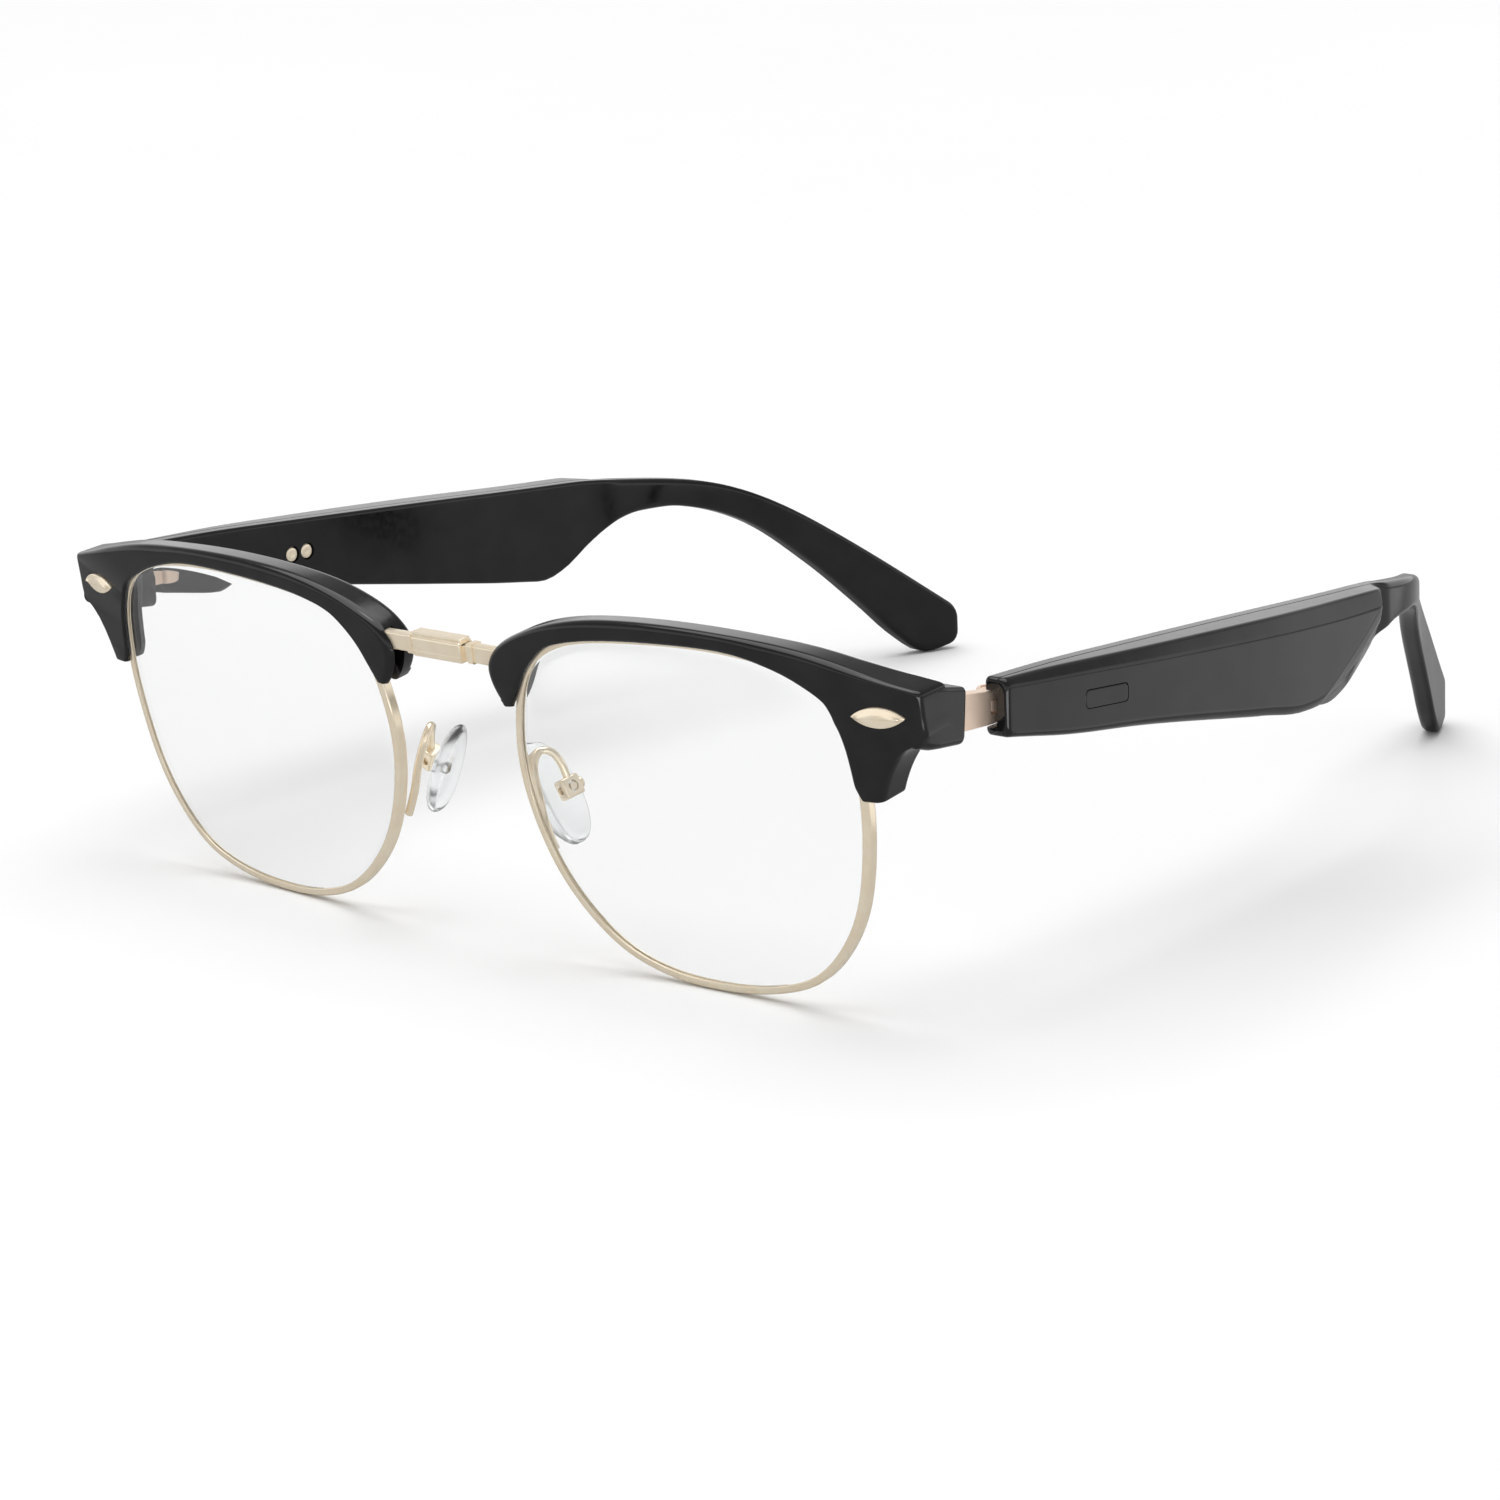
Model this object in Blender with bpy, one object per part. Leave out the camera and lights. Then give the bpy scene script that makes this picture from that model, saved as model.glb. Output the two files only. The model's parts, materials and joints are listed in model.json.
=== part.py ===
"""Browline smart audio glasses, standing open on their rims and temple tips.

All lengths are in millimetres and become metres where a mesh is made. X points to the wearer's left, Y
backwards along the temples and Z up. The design's own Y is counted from the middle of the lenses, and one
empty at the top of the tree moves the whole so that the origin is the middle of its footprint.

The front leans forward at the top. Its pieces are drawn in the front's own axes, (x, w, v): w is the depth
behind the front's surface and v the height along its slope. The surface wraps back towards the temples.
"""

import math

import bmesh
import bpy
from mathutils import Matrix, Vector

MM = 0.001
SIDES = {"left": 1, "right": -1}
GAP = 0.3  # between pieces that meet

# The front
FOOTPRINT_MIDDLE_Y = 74.07
FRONT_FOOT_Y = 2.97
LEAN = math.radians(7.69)
LENS_MIDDLE_X = 36.0
LENS_MIDDLE_V = 23.0
WRAP_SLOPE = 0.052
WRAP_CURVE = 0.001
END_SWEEP_X = 62.0
END_SWEEP = 0.012

# The rims, as the outside of the wire, (x, v), anticlockwise from the foot
RIM_OUTLINE = (
    (38.0, 0.0), (46.5, 0.9), (54.2, 4.0), (60.3, 12.0), (62.9, 22.5), (63.1, 31.5), (61.0, 39.0),
    (55.0, 43.3), (45.0, 45.0), (33.0, 44.8), (21.5, 43.4), (14.6, 39.6), (11.4, 33.0), (10.5, 23.2),
    (14.2, 11.9), (21.6, 3.9), (29.5, 0.7),
)  # fmt: skip
RIM_STEPS = 3
RIM_FRONT = 0.2
RIM_DEPTH = 1.6
RIM_WIDTH = 1.05
RIM_CORNER = 0.25
GROOVE_DEPTH = 0.45
GROOVE_MARGIN = 0.45  # of rim on each side of the groove that holds the lens
LENS_THICKNESS = 1.5
LENS_CLEARANCE = 0.25
LENS_TONGUE = 0.4

# The brows, as pairs of (x, v): the outer edge and the inner edge that faces it, from nose to leg
BROW_SECTIONS = (
    ((10.1, 33.35), (11.6, 33.5)),
    ((9.2, 34.4), (12.2, 34.4)),
    ((8.3, 36.3), (13.2, 36.1)),
    ((8.2, 38.4), (14.3, 37.9)),
    ((9.7, 40.5), (16.0, 39.8)),
    ((12.7, 42.4), (18.6, 41.8)),
    ((18.5, 44.7), (22.3, 42.9)),
    ((26.0, 46.25), (27.5, 43.7)),
    ((35.5, 46.85), (35.5, 44.3)),
    ((46.0, 46.65), (46.0, 44.4)),
    ((55.2, 45.8), (53.0, 42.9)),
    ((62.0, 44.45), (57.0, 41.2)),
    ((67.3, 42.95), (59.3, 39.8)),
    ((70.4, 42.1), (60.1, 38.6)),
    ((71.7, 41.65), (60.4, 37.9)),
    ((71.97, 40.9), (60.6, 37.3)),
    ((71.97, 38.6), (61.1, 36.2)),
    ((71.9, 35.9), (61.6, 34.4)),
    ((69.3, 34.6), (61.9, 32.6)),
    ((67.5, 32.2), (62.1, 30.9)),
    ((66.4, 29.8), (62.3, 29.6)),
    ((65.8, 28.2), (63.0, 28.2)),
)
BROW_STEPS = 2
BROW_FRONT = -0.6
BROW_REAR = 4.0
BROW_TOP_FALL = 0.2  # of depth, from front to rear
BROW_EDGES = (0.45, 0.9, 0.7, 0.45)  # rounding: inner front, outer front, outer rear, inner rear
CHANNEL_WIDTH = 5.0
END_BLOCK_X = (64.3, 72.0)
END_BLOCK_Y = (2.0, 9.5)
END_BLOCK_Z = (34.75, 41.45)
END_BLOCK_PITCH = math.radians(-5.5)
NASAL_SLOT_X = (5.0, 13.6)
NASAL_SLOT_V = (31.5, 40.5)

# The rivets on the brows' corners
RIVET_CENTRE = (66.5, 38.55)  # x, v
RIVET_SIZE = (6.7, 2.5)
RIVET_SINK = 0.5
RIVET_PROUD = 0.35

# The bridge
BRIDGE_PLATE = (4.2, 37.8, 40.5)  # half its length, and v from its lower to its upper edge
BRIDGE_PLATE_DEPTH = (-0.6, 1.9)
BRIDGE_STRIP = (39.7, 40.9)
BRIDGE_LINK_X = 12.4
BRIDGE_LINK_V = (37.8, 40.2)
BRIDGE_LINK_DEPTH = (0.3, 1.7)

# Blocks that close the rims round the lenses
LOCK_X = (63.5, 65.2)
LOCK_DEPTH = (0.9, 3.6)
LOCK_V = (31.2, 35.4)

# Nose pads
PAD_CENTRE = Vector((10.0, 6.95, 19.95))
PAD_LONG = Vector((-0.44, -0.10, 0.893)).normalized()
PAD_NORMAL = Vector((0.895, -0.129, 0.426)).normalized()  # away from the nose
PAD_LENGTH = 13.6
PAD_WIDTH = 6.5
PAD_THICKNESS = 2.0
PAD_PIVOT = 2.5  # behind the pad's middle
PAD_BOX = (1.9, 3.0, 3.0)  # along the normal, across and along the pad
PAD_BOX_SLOT = 1.3
PAD_STEM = 0.8
PAD_SCREW_RADIUS = 0.4
PAD_ARM_RADIUS = 0.55
PAD_ARM = (
    (13.2, 2.86, 14.4), (11.75, 2.75, 17.6), (10.95, 2.75, 20.6), (9.9, 3.1, 24.0), (9.85, 4.2, 25.8),
    (10.6, 5.4, 25.6), (11.5, 6.0, 24.5), (12.0, 6.25, 23.7),
)  # fmt: skip

# The hinges
HINGE = Vector((70.0, 16.0, 37.1))
HINGE_HEIGHT = 4.0
HINGE_RADIUS = 1.4
HINGE_STEM = ((6.4, 35.6, 40.2), (14.2, 35.1, 39.1))  # y, lower and upper z
HINGE_STEM_INSIDE = 0.5  # from the hinge's axis towards the nose
STEM_GAP = 0.1
KNUCKLE_GAP_HEIGHT = 1.8
LEAF_HEIGHT = 1.4
LEAF_RADIUS = 1.25
HINGE_SCREW_RADIUS = 0.5
HINGE_SCREW_HEAD = (0.85, 0.5)  # radius, height
HINGE_BORE_CLEARANCE = 0.1
HINGE_SLOT_CLEARANCE = 0.25

# The temples, as smooth lines through (y, value)
TEMPLE_START = 14.0
BOX_END = 98.3
BOX_END_OUTSIDE = 93.9  # where the box's outer face ends
TIP_END = 152.3
LOWEST_Y = 147.3  # where the hook touches the ground
FACE_X = 70.9  # the flat inner face at its front end
FACE_SLOPE = 0.0455
FACE_BEND = ((90, 0), (95, 0.1), (100, 0.8), (108, 1.9), (116, 5.1), (125, 10.6), (140, 17.1), (152.3, 22.0))
TOP_LINE = (
    (14, 40.9), (24, 40.4), (40, 39.2), (60, 37.6), (80, 35.9), (88, 35.25), (95, 34.7), (100, 34.05),
    (104, 33.45), (108, 32.85), (112, 32.2), (116, 31.35), (120, 29.9), (126, 26.5), (135, 20.1),
    (152.3, 6.5),
)  # fmt: skip
BOTTOM_LINE = (
    (14, 34.0), (18, 33.2), (24, 32.0), (40, 29.6), (65, 24.9), (78, 22.45), (82, 21.8), (86, 21.2),
    (90, 22.2), (95, 25.0), (100, 27.4), (105, 28.35), (110, 28.3), (115, 27.25), (120, 25.1),
    (130, 16.65), (138, 8.4), (143, 3.0), (147.3, 0.0), (152.3, 1.1),
)  # fmt: skip
OUTER_BOTTOM_LINE = (
    (14, 34.0), (18, 33.2), (24, 32.0), (40, 29.6), (65, 24.9), (74, 23.25), (77.5, 23.2), (80.5, 24.4),
    (84.5, 26.6), (88.5, 28.9), (92, 31.0), (93.9, 32.2),
)  # fmt: skip
BOX_THICKNESS = ((14, 3.4), (30, 5.2), (50, 6.35), (68, 6.75), (80, 6.5), (93, 6.0))
BOX_SLANT = ((80, 0.0), (BOX_END, BOX_END - BOX_END_OUTSIDE))  # how far the outer face lags a section
HOOK_THICKNESS = 3.1
COVER_THICKNESS = 1.6
COVER_THICKENS = (98.6, 101.0)
SHELL_OFFSET = COVER_THICKNESS + GAP
SHELL_WALL = 1.3
SHELL_EDGE = ((14, 0.9), (30, 1.2), (85, 1.9))
COVER_EDGE = 0.45
CAVITY_Y = (18.0, 88.0)
CAVITY_FLOOR = ((70, 1.3), (80, 2.3))  # above the underside
END_ROUND = 0.7

# Inside the temples; x offsets are counted from the inner face
BOARD_OFFSET = (1.95, 2.55)
BOARD_Y = {"left": (25.5, 50.0), "right": (25.5, 42.0)}
BOARD_HEIGHT = 5.0
CHIP_OFFSET = (2.8, 3.7)
CHIP_Y = (36.5, 41.5)
CHIP_HEIGHT = 3.6
BATTERY_OFFSET = (2.2, 4.8)
BATTERY_Y = (51.5, 77.0)
BATTERY_HEIGHT = 7.6
SPEAKER_OFFSET = (2.1, 4.4)
SPEAKER_Y = (79.5, 87.0)
SPEAKER_MIDDLE_Z = 30.7
SPEAKER_HEIGHT = 5.6
GRILLE_OFFSET = (2.9, 5.3)
GRILLE_Y = (64.5, 73.0)
GRILLE_HEIGHT = 0.8
MICROPHONE_OFFSET = (2.05, 2.8)
MICROPHONE_Y = (21.6, 24.6)
MICROPHONE_HEIGHT = 1.2
MICROPHONE_HOLE_RADIUS = 0.4

# The function key on the left temple
KEY_Y = (27.4, 35.4)
KEY_HEIGHT = 2.3
KEY_MIDDLE = (31.4, 35.3)  # y, z
KEY_SLOPE = -0.09
KEY_DEPTH = 1.6
KEY_CLEARANCE = 0.15
SWITCH_OFFSET = (2.75, 3.1)
SWITCH_Y = (30.0, 32.8)

# The charging contacts in the right temple's inner cover
PIN_Y = (38.0, 40.7)
PIN_Z = 34.5
PIN_RADIUS = 1.05
PIN_HOLE_RADIUS = 1.2
PIN_RECESS = 0.1
PIN_LENGTH = 1.6
MAGNET_OFFSET = (1.95, 3.4)
MAGNET_Y = (44.0, 48.5)
MAGNET_HEIGHT = 4.5

COLOURS = {  # red, green, blue, roughness, metallic, alpha
    "frame_black": (0.012, 0.012, 0.013, 0.22, 0.0, 1.0),
    "gold": (0.83, 0.62, 0.40, 0.2, 1.0, 1.0),
    "lens_clear": (0.95, 0.97, 0.98, 0.02, 0.0, 0.2),
    "silicone": (0.9, 0.92, 0.93, 0.2, 0.0, 0.4),
    "steel": (0.6, 0.6, 0.6, 0.3, 1.0, 1.0),
    "board_green": (0.02, 0.16, 0.07, 0.5, 0.0, 1.0),
    "chip_black": (0.02, 0.02, 0.02, 0.5, 0.0, 1.0),
    "battery_foil": (0.55, 0.57, 0.6, 0.4, 1.0, 1.0),
    "speaker_black": (0.03, 0.03, 0.03, 0.5, 0.0, 1.0),
    "grille_black": (0.03, 0.03, 0.03, 0.4, 1.0, 1.0),
    "magnet_nickel": (0.5, 0.5, 0.52, 0.25, 1.0, 1.0),
}


# ---------------------------------------------------------------- lines and rings


def smooth(knots, at):
    """A smooth value through (place, value) knots that never swings past them."""
    if at <= knots[0][0]:
        return knots[0][1]
    if at >= knots[-1][0]:
        return knots[-1][1]
    steps = [(b[0] - a[0], (b[1] - a[1]) / (b[0] - a[0])) for a, b in zip(knots, knots[1:])]
    slopes = [steps[0][1]]
    for (before, rise), (after, next_rise) in zip(steps, steps[1:]):
        if rise * next_rise <= 0:
            slopes.append(0.0)
            continue
        near, far = 2 * after + before, after + 2 * before
        slopes.append((near + far) / (near / rise + far / next_rise))
    slopes.append(steps[-1][1])
    i = max(k for k, knot in enumerate(knots) if knot[0] <= at)
    width = steps[i][0]
    t = (at - knots[i][0]) / width
    return (
        knots[i][1] * (1 + 2 * t) * (1 - t) ** 2
        + slopes[i] * width * t * (1 - t) ** 2
        + knots[i + 1][1] * t * t * (3 - 2 * t)
        + slopes[i + 1] * width * t * t * (t - 1)
    )


def spline(points, steps, closed):
    """Points along a Catmull-Rom curve through the given ones, of any dimension."""
    count = len(points)
    found = []
    for i in range(count if closed else count - 1):
        if closed:
            a, b, c, d = (points[(i + k) % count] for k in (-1, 0, 1, 2))
        else:
            a, b, c, d = (points[min(max(i + k, 0), count - 1)] for k in (-1, 0, 1, 2))
        for k in range(steps):
            t = k / steps
            found.append(
                tuple(
                    q + 0.5 * t * (r - p + t * (2 * p - 5 * q + 4 * r - s + t * (3 * (q - r) + s - p)))
                    for p, q, r, s in zip(a, b, c, d)
                )
            )
    return found if closed else found + [tuple(points[-1])]


def inset(outline, distance):
    """A closed anticlockwise (x, v) outline moved inwards by a distance."""
    moved = []
    for i, (x, v) in enumerate(outline):
        before, after = outline[i - 1], outline[(i + 1) % len(outline)]
        along = Vector((after[0] - before[0], after[1] - before[1])).normalized()
        moved.append((x - along.y * distance, v + along.x * distance))
    return moved


def rounded_ring(a0, a1, b0, b1, radii, steps=2):
    """(a, b) points round a rectangle from its low corner. A radius of 0 leaves that corner sharp."""
    corners = ((a0, b0, 1, 1, 180), (a1, b0, -1, 1, 270), (a1, b1, -1, -1, 0), (a0, b1, 1, -1, 90))
    ring = []
    for (a, b, into_a, into_b, start), radius in zip(corners, radii):
        if not radius:
            ring.append((a, b))
            continue
        for i in range(steps + 1):
            angle = math.radians(start + 90 * i / steps)
            ring.append(
                (
                    a + radius * (into_a + math.cos(angle)),
                    b + radius * (into_b + math.sin(angle)),
                )
            )
    return ring


def wrap(x):
    """How far the front's surface lies back at x."""
    out = abs(x) - LENS_MIDDLE_X
    return WRAP_SLOPE * out + WRAP_CURVE * out * out


def brow_wrap(x):
    """The brow's surface, which also sweeps back at its outer corner."""
    return wrap(x) + END_SWEEP * max(0.0, abs(x) - END_SWEEP_X) ** 2


# ---------------------------------------------------------------- objects


def clear_scene():
    for old in list(bpy.data.objects):
        bpy.data.objects.remove(old, do_unlink=True)


def new_collection(name):
    collection = bpy.data.collections.new(name)
    bpy.context.scene.collection.children.link(collection)
    return collection


def new_material(name):
    red, green, blue, roughness, metallic, alpha = COLOURS[name]
    material = bpy.data.materials.new(name)
    material.use_nodes = True
    shader = material.node_tree.nodes["Principled BSDF"]
    shader.inputs["Base Color"].default_value = (red, green, blue, 1.0)
    shader.inputs["Roughness"].default_value = roughness
    shader.inputs["Metallic"].default_value = metallic
    shader.inputs["Alpha"].default_value = alpha
    material.diffuse_color = (red, green, blue, alpha)
    return material


def new_empty(name, location, parent=None, rotation=(0, 0, 0)):
    empty = bpy.data.objects.new(name, None)
    PARTS.objects.link(empty)
    empty.empty_display_size = 0.01
    empty.parent = parent
    empty.location = Vector(location) * MM
    empty.rotation_euler = rotation
    return empty


def loft(rings, closed=False):
    """A mesh through rings that have as many points each. Its ends are capped, unless it is closed."""
    bm = bmesh.new()
    rows = [[bm.verts.new(point) for point in ring] for ring in rings]
    for row, following in zip(rows, rows[1:] + rows[:1] if closed else rows[1:]):
        for i in range(len(row)):
            j = (i + 1) % len(row)
            bm.faces.new((row[i], row[j], following[j], following[i]))
    if not closed:
        bm.faces.new(rows[0])
        bm.faces.new(rows[-1])
    bmesh.ops.recalc_face_normals(bm, faces=bm.faces)
    bmesh.ops.triangulate(bm, faces=bm.faces)
    return bm


def box(x, y, z):
    """A block between two values of each coordinate."""
    bm = bmesh.new()
    bmesh.ops.create_cube(bm, size=1.0)
    for vert in bm.verts:
        vert.co = [(low + high) / 2 + share * (high - low) for share, (low, high) in zip(vert.co, (x, y, z))]
    return bm


def disc(centre, radius, length, axis, segments=16):
    """A cylinder round its centre, along an axis."""
    bm = bmesh.new()
    turn = Vector(axis).to_track_quat("Z", "Y").to_matrix().to_4x4()
    bmesh.ops.create_cone(
        bm,
        cap_ends=True,
        segments=segments,
        radius1=radius,
        radius2=radius,
        depth=length,
        matrix=Matrix.Translation(centre) @ turn,
    )
    return bm


def add(name, bm, side=1, parent=None, material=None, sharp=40):
    """Makes an object of a mesh drawn in millimetres for the left side, mirrored for the right one."""
    bmesh.ops.scale(bm, vec=(side * MM, MM, MM), verts=bm.verts)
    if side < 0:
        bmesh.ops.reverse_faces(bm, faces=bm.faces)
    mesh = bpy.data.meshes.new(name)
    bm.to_mesh(mesh)
    bm.free()
    mesh.shade_smooth()
    mesh.set_sharp_from_angle(angle=math.radians(sharp))
    return add_object(name, mesh, parent, material)


def add_object(name, data, parent, material):
    """Links new data to the parts, or to the cutters where it has no material."""
    thing = bpy.data.objects.new(name, data)
    (PARTS if material else CUTTERS).objects.link(thing)
    if material:
        data.materials.append(MATERIALS[material])
    else:
        thing.hide_render = True
        thing.display_type = "WIRE"
    thing.parent = parent
    if parent and parent not in (ROOT, FRONT):
        thing.matrix_parent_inverse = parent.matrix_basis.inverted()
    return thing


def boolean(thing, other, operation):
    modifier = thing.modifiers.new(f"{operation.lower()}_{other.name}", "BOOLEAN")
    modifier.operation = operation
    modifier.object = other


def cut(thing, *cutters):
    for cutter in cutters:
        boolean(thing, cutter, "DIFFERENCE")


def join(thing, *others):
    for other in others:
        boolean(thing, other, "UNION")


# ---------------------------------------------------------------- the front


def rim_rings(outline, low, high, depth_low, depth_high):
    """A rim-shaped ring between two insets and two depths."""
    sheets = [(low, depth_low), (high, depth_low), (high, depth_high), (low, depth_high)]
    return profile_rings(outline, sheets)


def profile_rings(outline, profile):
    """Sections along an outline; the profile is (inset, depth) pairs."""
    lines = [(inset(outline, distance), depth) for distance, depth in profile]
    return [
        [(line[i][0], depth + wrap(line[i][0]), line[i][1]) for line, depth in lines]
        for i in range(len(outline))
    ]


def build_rim(side_name, side, outline):
    rear = RIM_FRONT + RIM_DEPTH
    groove = (RIM_FRONT + GROOVE_MARGIN, rear - GROOVE_MARGIN)
    profile = (
        (RIM_CORNER, RIM_FRONT),
        (RIM_WIDTH, RIM_FRONT),
        (RIM_WIDTH, groove[0]),
        (RIM_WIDTH - GROOVE_DEPTH, groove[0]),
        (RIM_WIDTH - GROOVE_DEPTH, groove[1]),
        (RIM_WIDTH, groove[1]),
        (RIM_WIDTH, rear),
        (RIM_CORNER, rear),
        (0.0, rear - RIM_CORNER),
        (0.0, RIM_FRONT + RIM_CORNER),
    )
    bm = loft(profile_rings(outline, profile), closed=True)
    add(f"rim_{side_name}", bm, side, FRONT, "gold")


def build_lens(side_name, side, outline):
    """A plate whose edge carries a tongue that sits in the rim's groove."""
    middle = RIM_FRONT + RIM_DEPTH / 2
    body = RIM_WIDTH + LENS_CLEARANCE
    tongue = RIM_WIDTH - GROOVE_DEPTH + LENS_CLEARANCE
    half, half_tongue = LENS_THICKNESS / 2, LENS_TONGUE / 2
    layers = (
        (body, 0.35, middle - half),
        (body, 0.7, middle - half),
        (body, 1.0, middle - half),
        (body, 1.0, middle - half_tongue),
        (tongue, 1.0, middle - half_tongue / 2),
        (tongue, 1.0, middle + half_tongue / 2),
        (body, 1.0, middle + half_tongue),
        (body, 1.0, middle + half),
        (body, 0.7, middle + half),
        (body, 0.35, middle + half),
    )
    rings = []
    for distance, share, depth in layers:
        ring = []
        for x, v in inset(outline, distance):
            x = LENS_MIDDLE_X + share * (x - LENS_MIDDLE_X)
            ring.append((x, depth + wrap(x), LENS_MIDDLE_V + share * (v - LENS_MIDDLE_V)))
        rings.append(ring)
    add(f"lens_{side_name}", loft(rings), side, FRONT, "lens_clear", sharp=30)


def brow_rings():
    flat = [outer + inner for outer, inner in BROW_SECTIONS]
    rings = []
    for outer_x, outer_v, inner_x, inner_v in spline(flat, BROW_STEPS, closed=False):
        across = Vector((outer_x - inner_x, outer_v - inner_v))
        width = across.length
        across.normalize()
        radii = [min(radius, 0.4 * width) for radius in BROW_EDGES]
        ring = []
        for a, w in rounded_ring(0.0, width, BROW_FRONT, BROW_REAR, radii):
            x = inner_x + across.x * a
            fall = BROW_TOP_FALL * (w - BROW_FRONT) * max(0.0, across.y) * a / width
            ring.append((x, w + brow_wrap(x), inner_v + across.y * a - fall))
        rings.append(ring)
    return rings


def almond(length, height, count=7):
    """An outline of two arcs that meet in points at its ends, round its middle."""
    half, rise = length / 2, height / 2
    radius = (half * half + rise * rise) / (2 * rise)
    reach = math.asin(half / radius)
    arc = [reach * (1 - 2 * i / (count - 1)) for i in range(count)]
    upper = [(radius * math.sin(a), radius * math.cos(a) - radius + rise) for a in arc]
    return upper + [(-a, -b) for a, b in upper[1:-1]]


def rivet_layer(length, height, depth):
    x, v = RIVET_CENTRE
    return [(x + a, BROW_FRONT + depth + brow_wrap(x + a), v + b) for a, b in almond(length, height)]


def build_rivet(side_name, side):
    length, height = RIVET_SIZE
    rings = [
        rivet_layer(length, height, RIVET_SINK - 0.1),
        rivet_layer(length, height, 0.05),
        rivet_layer(length * 0.8, height * 0.12, -RIVET_PROUD),
    ]
    add(f"rivet_{side_name}", loft(rings), side, FRONT, "gold", sharp=15)
    margin = 0.35
    pocket = [
        rivet_layer(length + 2.4 * margin, height + 2 * margin, -2.0),
        rivet_layer(length + 2.4 * margin, height + 2 * margin, RIVET_SINK + 0.2),
    ]
    return add(f"cut_rivet_{side_name}", loft(pocket), side, FRONT)


def end_block(side_name, side):
    """The block behind the brow's corner that the hinge is let into."""
    x0, x1 = END_BLOCK_X
    z0, z1 = END_BLOCK_Z
    start, end = END_BLOCK_Y
    middle = Vector(((x0 + x1) / 2, start, (z0 + z1) / 2))
    rings = []
    for at, shrink in ((start, 0.6), (end - 0.7, 0.0), (end - 0.2, 0.2), (end, 0.7)):
        ring = rounded_ring(x0 + shrink, x1 - shrink, z0 + shrink, z1 - shrink, (0.5, 0.9, 0.9, 0.5))
        rings.append([(x, at, z) for x, z in ring])
    bm = loft(rings)
    tilt = Matrix.Translation(middle) @ Matrix.Rotation(END_BLOCK_PITCH, 4, "X") @ Matrix.Translation(-middle)
    bmesh.ops.transform(bm, matrix=tilt, verts=bm.verts)
    return add(f"join_end_block_{side_name}", bm, side, ROOT)


def build_brow(side_name, side, outline, cutters):
    brow = add(f"brow_{side_name}", loft(brow_rings()), side, FRONT, "frame_black")
    channel = rim_rings(outline, -GAP, CHANNEL_WIDTH, RIM_FRONT - GAP, RIM_FRONT + RIM_DEPTH + GAP)
    channel = add(f"cut_channel_{side_name}", loft(channel, closed=True), side, FRONT)
    back = wrap(NASAL_SLOT_X[1])
    slot_depth = (BRIDGE_LINK_DEPTH[0] + back - GAP, BRIDGE_LINK_DEPTH[1] + back + GAP)
    slot = box(NASAL_SLOT_X, slot_depth, NASAL_SLOT_V)
    slot = add(f"cut_nasal_slot_{side_name}", slot, side, FRONT)
    lock = box(
        (LOCK_X[0] - 1.0, LOCK_X[1] + GAP),
        (LOCK_DEPTH[0] - GAP + wrap(LOCK_X[0]), BROW_REAR + 3.0),
        (LOCK_V[0] - GAP, LOCK_V[1] + GAP),
    )
    lock = add(f"cut_lock_{side_name}", lock, side, FRONT)
    hinge = add(f"cut_hinge_block_{side_name}", hinge_stem(STEM_GAP, HINGE.y), side, ROOT)
    join(brow, end_block(side_name, side))
    cut(brow, channel, slot, lock, hinge, *cutters)


def build_bridge():
    half, low, high = BRIDGE_PLATE
    depth = BRIDGE_PLATE_DEPTH
    back = wrap(0.0)
    plate = rounded_ring(depth[0] + back, depth[1] + back, low, high, (0.4, 0.4, 0.4, 0.4))
    bridge = add("bridge", loft([[(x, w, v) for w, v in plate] for x in (-half, half)]), 1, FRONT, "gold")
    strip = box((-half, half), (depth[0] + back + 0.5, depth[1] + back - 0.4), BRIDGE_STRIP)
    join(bridge, add("join_bridge_strip", strip, 1, FRONT))
    for side_name, side in SIDES.items():
        ends = (half - 1.0, BRIDGE_LINK_X)
        ring = rounded_ring(*BRIDGE_LINK_DEPTH, *BRIDGE_LINK_V, (0.3, 0.3, 0.3, 0.3))
        link = loft([[(x, w + wrap(x), v) for w, v in ring] for x in ends])
        join(bridge, add(f"join_bridge_link_{side_name}", link, side, FRONT))


def build_rim_lock(side_name, side):
    """The split block on the rim and the screw that closes it round the lens."""
    back = wrap(LOCK_X[0])
    depth = (LOCK_DEPTH[0] + back, LOCK_DEPTH[1] + back)
    lock = add(f"rim_lock_{side_name}", box(LOCK_X, depth, LOCK_V), side, FRONT, "gold")
    centre = (sum(LOCK_X) / 2, sum(depth) / 2)
    middle, length = sum(LOCK_V) / 2, LOCK_V[1] - LOCK_V[0]
    bore = disc((*centre, middle), 0.6, length + 2, (0, 0, 1))
    head_bore = disc((*centre, LOCK_V[0]), 0.85, 1.2, (0, 0, 1))
    cut(lock, add(f"cut_lock_bore_{side_name}", bore, side, FRONT))
    cut(lock, add(f"cut_lock_head_{side_name}", head_bore, side, FRONT))
    screw = add(
        f"rim_screw_{side_name}",
        disc((*centre, middle), 0.5, length - 0.4, (0, 0, 1), 12),
        side,
        FRONT,
        "steel",
    )
    head = disc((*centre, LOCK_V[0] + 0.25), 0.75, 0.45, (0, 0, 1), 12)
    join(screw, add(f"join_rim_screw_head_{side_name}", head, side, FRONT))


# ---------------------------------------------------------------- nose pads


def pad_axes():
    """The pad's axes as a matrix: away from the nose, across it and along it."""
    across = PAD_LONG.cross(PAD_NORMAL).normalized()
    normal = across.cross(PAD_LONG)
    return Matrix((normal, across, PAD_LONG)).transposed().to_4x4()


def pad_place():
    return Matrix.Translation(PAD_CENTRE) @ pad_axes()


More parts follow.
